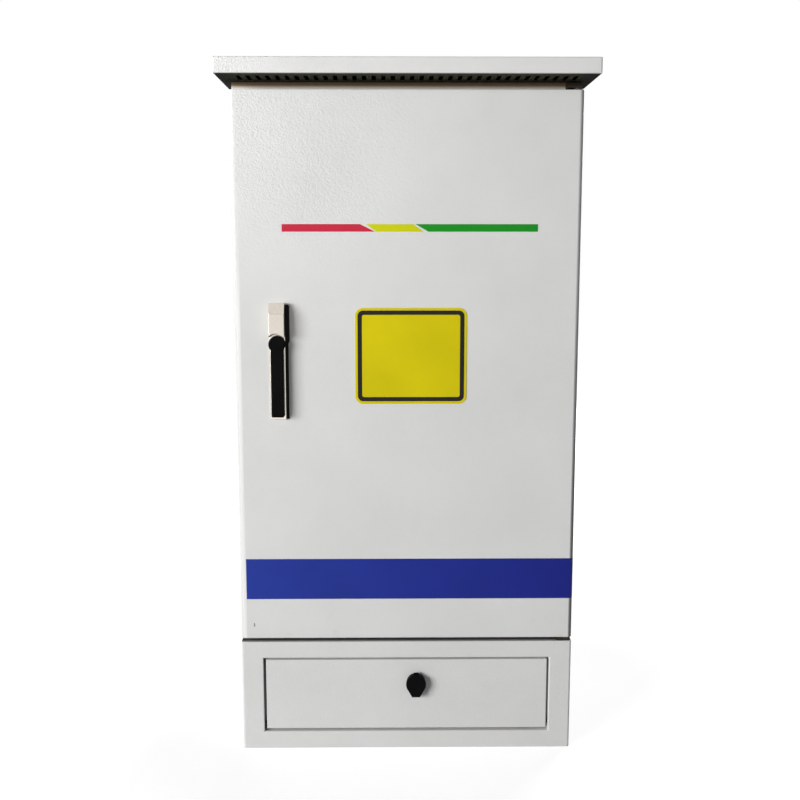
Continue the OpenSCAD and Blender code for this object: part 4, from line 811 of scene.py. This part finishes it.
GLAND_EDGE, FAN_EDGE = 0.01, 0.0075
gland_low, gland_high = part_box("gland_plate")
gland_places = [(x, y, gland_high.z) for x in (gland_low.x + GLAND_EDGE, 0.0, gland_high.x - GLAND_EDGE)
                for y in (gland_low.y + GLAND_EDGE, gland_high.y - GLAND_EDGE)]
screw_set("gland_screws", gland_places, UP, GLAND_SCREW_R)

fan_low, fan_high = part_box("fan_frame")
fan_places = [(x, y, fan_low.z) for x in (fan_low.x + FAN_EDGE, fan_high.x - FAN_EDGE)
              for y in (fan_low.y + FAN_EDGE, fan_high.y - FAN_EDGE)]
screw_set("fan_screws", fan_places, DOWN, FAN_SCREW_R)
print("screws:", len(rack_places) + len(gland_places) + len(fan_places))

# %% [markdown]
# ## Module fronts
# Each plug-in module is held by two thumb screws, and shows small status lamps above its handle and a
# blank label strip below it. A thumb screw has a ridged rim for the fingers: every second point of the
# circle is pulled in a little. A lamp is a low dome. The lamps of one colour are one mesh, so that a
# colour is one finish.

# %% Fit the module fronts
THUMB_R, THUMB_H, THUMB_EDGE, THUMB_SIDES, THUMB_RIDGE = 0.0045, 0.0055, 0.012, 32, 0.90
THUMB_PROFILE = ((1.0, 0.0), (1.0, 0.85), (0.86, 1.0), (0.5, 1.0), (0.45, 0.92))
LAMP_R, LAMP_TOP, LAMP_STEP = 0.0024, 0.032, 0.013
LAMP_PROFILE = ((1.25, 0.0), (1.25, 0.2), (1.0, 0.25), (1.0, 0.6), (0.8, 1.0), (0.4, 1.2))
LABEL_W, LABEL_H, LABEL_T, LABEL_DROP, TAG_CORNER = 0.052, 0.015, 0.0004, 0.056, 0.001
MODULE_LAMPS = {"power_module": ["green"], "processor_module": ["green", "amber"]}
for number in (1, 2, 3, 4):
    MODULE_LAMPS[f"driver_module_{number}"] = ["red", "amber", "green"]


def lamp_dome(mesh, at):
    turned(mesh, at, FRONT, scaled_profile(LAMP_PROFILE, LAMP_R, LAMP_R))


def tag(mesh, centre, width, height, y, thick, corner=TAG_CORNER):
    edge = min(thick, corner) / 2
    join_rings(mesh, [front_ring(width, height, corner, centre, y),
                      front_ring(width, height, corner, centre, y - thick + edge),
                      front_ring(width - 2 * edge, height - 2 * edge, corner - edge, centre, y - thick)])


thumbs, labels = bmesh.new(), bmesh.new()
lamp_meshes = {"red": bmesh.new(), "amber": bmesh.new(), "green": bmesh.new()}
for module, shown in MODULE_LAMPS.items():
    low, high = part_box(module)
    middle, centre_z = (low.x + high.x) / 2, (low.z + high.z) / 2
    for z in (low.z + THUMB_EDGE, high.z - THUMB_EDGE):
        turned(thumbs, (middle, RACK_FACE, z), FRONT, scaled_profile(THUMB_PROFILE, THUMB_R, THUMB_H),
               THUMB_SIDES, THUMB_RIDGE)
    for place, lamp in enumerate(shown):
        lamp_dome(lamp_meshes[lamp], (middle, RACK_FACE, high.z - LAMP_TOP - place * LAMP_STEP))
    tag(labels, (middle, centre_z - LABEL_DROP), LABEL_W, LABEL_H, RACK_FACE, LABEL_T)
finish_piece("module_screws", thumbs, zinc, "carcass")
print("modules fitted:", len(MODULE_LAMPS))

# %% [markdown]
# ## The operator panel
# The technician works the controller from this panel: a display in a raised frame and three buttons,
# each with a lamp above it and a blank label below. The frame is one ring that climbs up its outside,
# turns over the top and drops to the window, so that its edges can be softened ring by ring.

# %% Fit the operator panel
FRAME_W, FRAME_T, FRAME_EDGE, FRAME_R = 0.007, 0.0025, 0.0006, 0.004
GLASS_PLAY = 0.0004
glass_low, glass_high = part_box("display_window")
glass_centre = ((glass_low.x + glass_high.x) / 2, (glass_low.z + glass_high.z) / 2)
hole_w = glass_high.x - glass_low.x + 2 * GLASS_PLAY
hole_h = glass_high.z - glass_low.z + 2 * GLASS_PLAY


def frame_ring(grow, y):
    return front_ring(hole_w + 2 * grow, hole_h + 2 * grow, FRAME_R, glass_centre, y)


frame_face = RACK_FACE - FRAME_T
display_frame = bmesh.new()
join_rings(display_frame, [
    frame_ring(FRAME_W, RACK_FACE), frame_ring(FRAME_W, frame_face + FRAME_EDGE),
    frame_ring(FRAME_W - FRAME_EDGE, frame_face), frame_ring(FRAME_EDGE, frame_face),
    frame_ring(0, frame_face + FRAME_EDGE), frame_ring(0, RACK_FACE),
], loop=True)
finish_piece("display_frame", display_frame, black_plastic, "carcass")

BUTTON_LAMP_UP, BUTTON_LABEL_DROP = 0.027, 0.026
BUTTON_LABEL_W, BUTTON_LABEL_H = 0.036, 0.010
for button, lamp in (("auto_button", "green"), ("flash_button", "amber"), ("step_button", "red")):
    low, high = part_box(button)
    at_x, at_z = (low.x + high.x) / 2, (low.z + high.z) / 2
    lamp_dome(lamp_meshes[lamp], (at_x, RACK_FACE, at_z + BUTTON_LAMP_UP))
    tag(labels, (at_x, at_z - BUTTON_LABEL_DROP), BUTTON_LABEL_W, BUTTON_LABEL_H, RACK_FACE, LABEL_T)
finish_piece("blank_labels", labels, white_plastic, "carcass")
for lamp, finish in (("red", red_plastic), ("amber", amber_plastic), ("green", green_plastic)):
    finish_piece(lamp + "_lamps", lamp_meshes[lamp], finish, "carcass")
print("display frame:", round(hole_w + 2 * FRAME_W, 3), "x", round(hole_h + 2 * FRAME_W, 3), "m")

# %% [markdown]
# ## Breakers
# Each pole of a breaker is a slim case of its own, clipped side by side on the rail, with a clamp screw
# above and below. Joints and wells could be cut into the cases, but these are solids from the CAD step
# and stay as they came. So the joints between the poles are thin dark strips laid on them, and each
# screw sits on a thin dark disc, which is painted shade for its well. The arrester's green windows show that
# its cartridges are sound.

# %% Fit the breakers and the arrester
POLE_W, POLE_SCREW_R, POLE_SCREW_Z = 0.018, 0.0034, 0.0325
WELL_R, WELL_T, WELL_LIP = 0.0052, 0.0003, 0.92
LOW_STEP, RAISED_HALF = 0.018, 0.0225
SEAM_W, SEAM_T, SEAM_CORNER = 0.0006, 0.0001, 0.0002
WINDOW_W, WINDOW_H, WINDOW_UP = 0.008, 0.005, 0.012
clamps, well_shades, seams, flags = bmesh.new(), bmesh.new(), bmesh.new(), bmesh.new()


# Painted shade: each clamp screw's well is a thin dark disc.
def clamp(pole_x, face, z):
    well = [(WELL_R, 0), (WELL_R, WELL_T), (WELL_LIP * WELL_R, WELL_T)]
    turned(well_shades, (pole_x, face, z), FRONT, well)
    screw(clamps, (pole_x, face - WELL_T, z), FRONT, POLE_SCREW_R)


def pole_seam(seam_x, centre_z, half_z, face, low_face):
    step_h = half_z - RAISED_HALF
    tag(seams, (seam_x, centre_z), SEAM_W, 2 * RAISED_HALF, face, SEAM_T, SEAM_CORNER)
    for side in (-1, 1):
        step_z = centre_z + side * (RAISED_HALF + step_h / 2)
        tag(seams, (seam_x, step_z), SEAM_W, step_h, low_face, SEAM_T, SEAM_CORNER)


for device in ("main_breaker", "lamp_breaker", "surge_arrester"):
    low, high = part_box(device)
    poles = round((high.x - low.x) / POLE_W)
    centre_z, half_z = (low.z + high.z) / 2, (high.z - low.z) / 2
    for pole in range(poles):
        pole_x = low.x + (pole + 0.5) * POLE_W
        for z in (centre_z - POLE_SCREW_Z, centre_z + POLE_SCREW_Z):
            clamp(pole_x, low.y + LOW_STEP, z)
        if device == "surge_arrester":
            tag(flags, (pole_x, centre_z + WINDOW_UP), WINDOW_W, WINDOW_H, low.y, WELL_T)
        if pole:
            pole_seam(low.x + pole * POLE_W, centre_z, half_z, low.y, low.y + LOW_STEP)
    print(device, "poles:", poles)

# %% [markdown]
# ## Terminals and earth bar
# The terminal strip has two screws and a blank tag for each way, and the earth bar a screw for each
# conductor. They use the same screw and the same tag as above, set out in a row by their pitch.

# %% Fit the terminals and the earth bar
STRIP_WAYS, STRIP_BASE, STRIP_SCREW_R, STRIP_SCREW_Z = 24, 0.012, 0.0042, 0.0155
TAG_W, TAG_H, TAG_T = 0.0115, 0.0085, 0.0008
low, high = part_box("terminal_strip")
strip_face, strip_z = RACK_FACE - STRIP_BASE, (low.z + high.z) / 2
way_w = (high.x - low.x) / STRIP_WAYS
way_tags = bmesh.new()
for way in range(STRIP_WAYS):
    way_x = low.x + (way + 0.5) * way_w
    tag(way_tags, (way_x, strip_z), TAG_W, TAG_H, strip_face, TAG_T)
    for z in (strip_z - STRIP_SCREW_Z, strip_z + STRIP_SCREW_Z):
        screw(clamps, (way_x, strip_face, z), FRONT, STRIP_SCREW_R)
finish_piece("clamp_screws", clamps, zinc, "carcass")
finish_piece("clamp_well_shades", well_shades, black_plastic, "carcass")
finish_piece("pole_joints", seams, black_plastic, "carcass")
finish_piece("arrester_windows", flags, green_plastic, "carcass")
finish_piece("terminal_tags", way_tags, white_plastic, "carcass")

EARTH_HOLES, EARTH_SCREW_R = 10, 0.0052
low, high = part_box("earth_bar")
earth_pitch, earth_z = (high.x - low.x) / EARTH_HOLES, (low.z + high.z) / 2
earth_places = [(low.x + (hole + 0.5) * earth_pitch, low.y, earth_z) for hole in range(EARTH_HOLES)]
screw_set("earth_screws", earth_places, FRONT, EARTH_SCREW_R, brass)
print("terminal ways:", STRIP_WAYS, "earth screws:", len(earth_places))

# %% [markdown]
# ## The fan's finger guard
# Below the ceiling fan hangs a guard of bent wire: a few rings and four arms that reach the corner
# screws. A wire is a small circle carried along a path; for a ring the path closes on itself. A curve
# with a bevel could do the same, but a mesh is ready for export as it is.

# %% Bend the guard
WIRE_R, WIRE_SIDES, ARM_START = 0.0009, 8, 0.17
GUARD_RINGS, GUARD_STEP, RING_POINTS = 4, 0.0125, 48


def round_angles(count):
    return [2 * math.pi * k / count for k in range(count)]


def wire(mesh, path, closed=False):
    rings = []
    for i, point in enumerate(path):
        before = path[i - 1] if closed or i else point
        after = path[(i + 1) % len(path)] if closed or i < len(path) - 1 else point
        along = (Vector(after) - Vector(before)).normalized()
        side = along.cross(Vector(UP)).normalized()
        over = side.cross(along)
        rings.append([Vector(point) + WIRE_R * (math.cos(a) * side + math.sin(a) * over)
                      for a in round_angles(WIRE_SIDES)])
    join_rings(mesh, rings, loop=closed)


fan_x, fan_y = (fan_low.x + fan_high.x) / 2, (fan_low.y + fan_high.y) / 2
guard_z = fan_low.z - WIRE_R
arm_z = guard_z - 2 * WIRE_R
guard = bmesh.new()
for ring in range(1, GUARD_RINGS + 1):
    r = ring * GUARD_STEP
    wire(guard, [(fan_x + r * math.cos(a), fan_y + r * math.sin(a), guard_z)
                 for a in round_angles(RING_POINTS)], closed=True)
for x, y, _ in fan_places:
    inner_x, inner_y = fan_x + (x - fan_x) * ARM_START, fan_y + (y - fan_y) * ARM_START
    wire(guard, [(inner_x, inner_y, arm_z), (x, y, arm_z)])
finish_piece("fan_guard", guard, zinc, "carcass")
print("guard rings:", GUARD_RINGS)
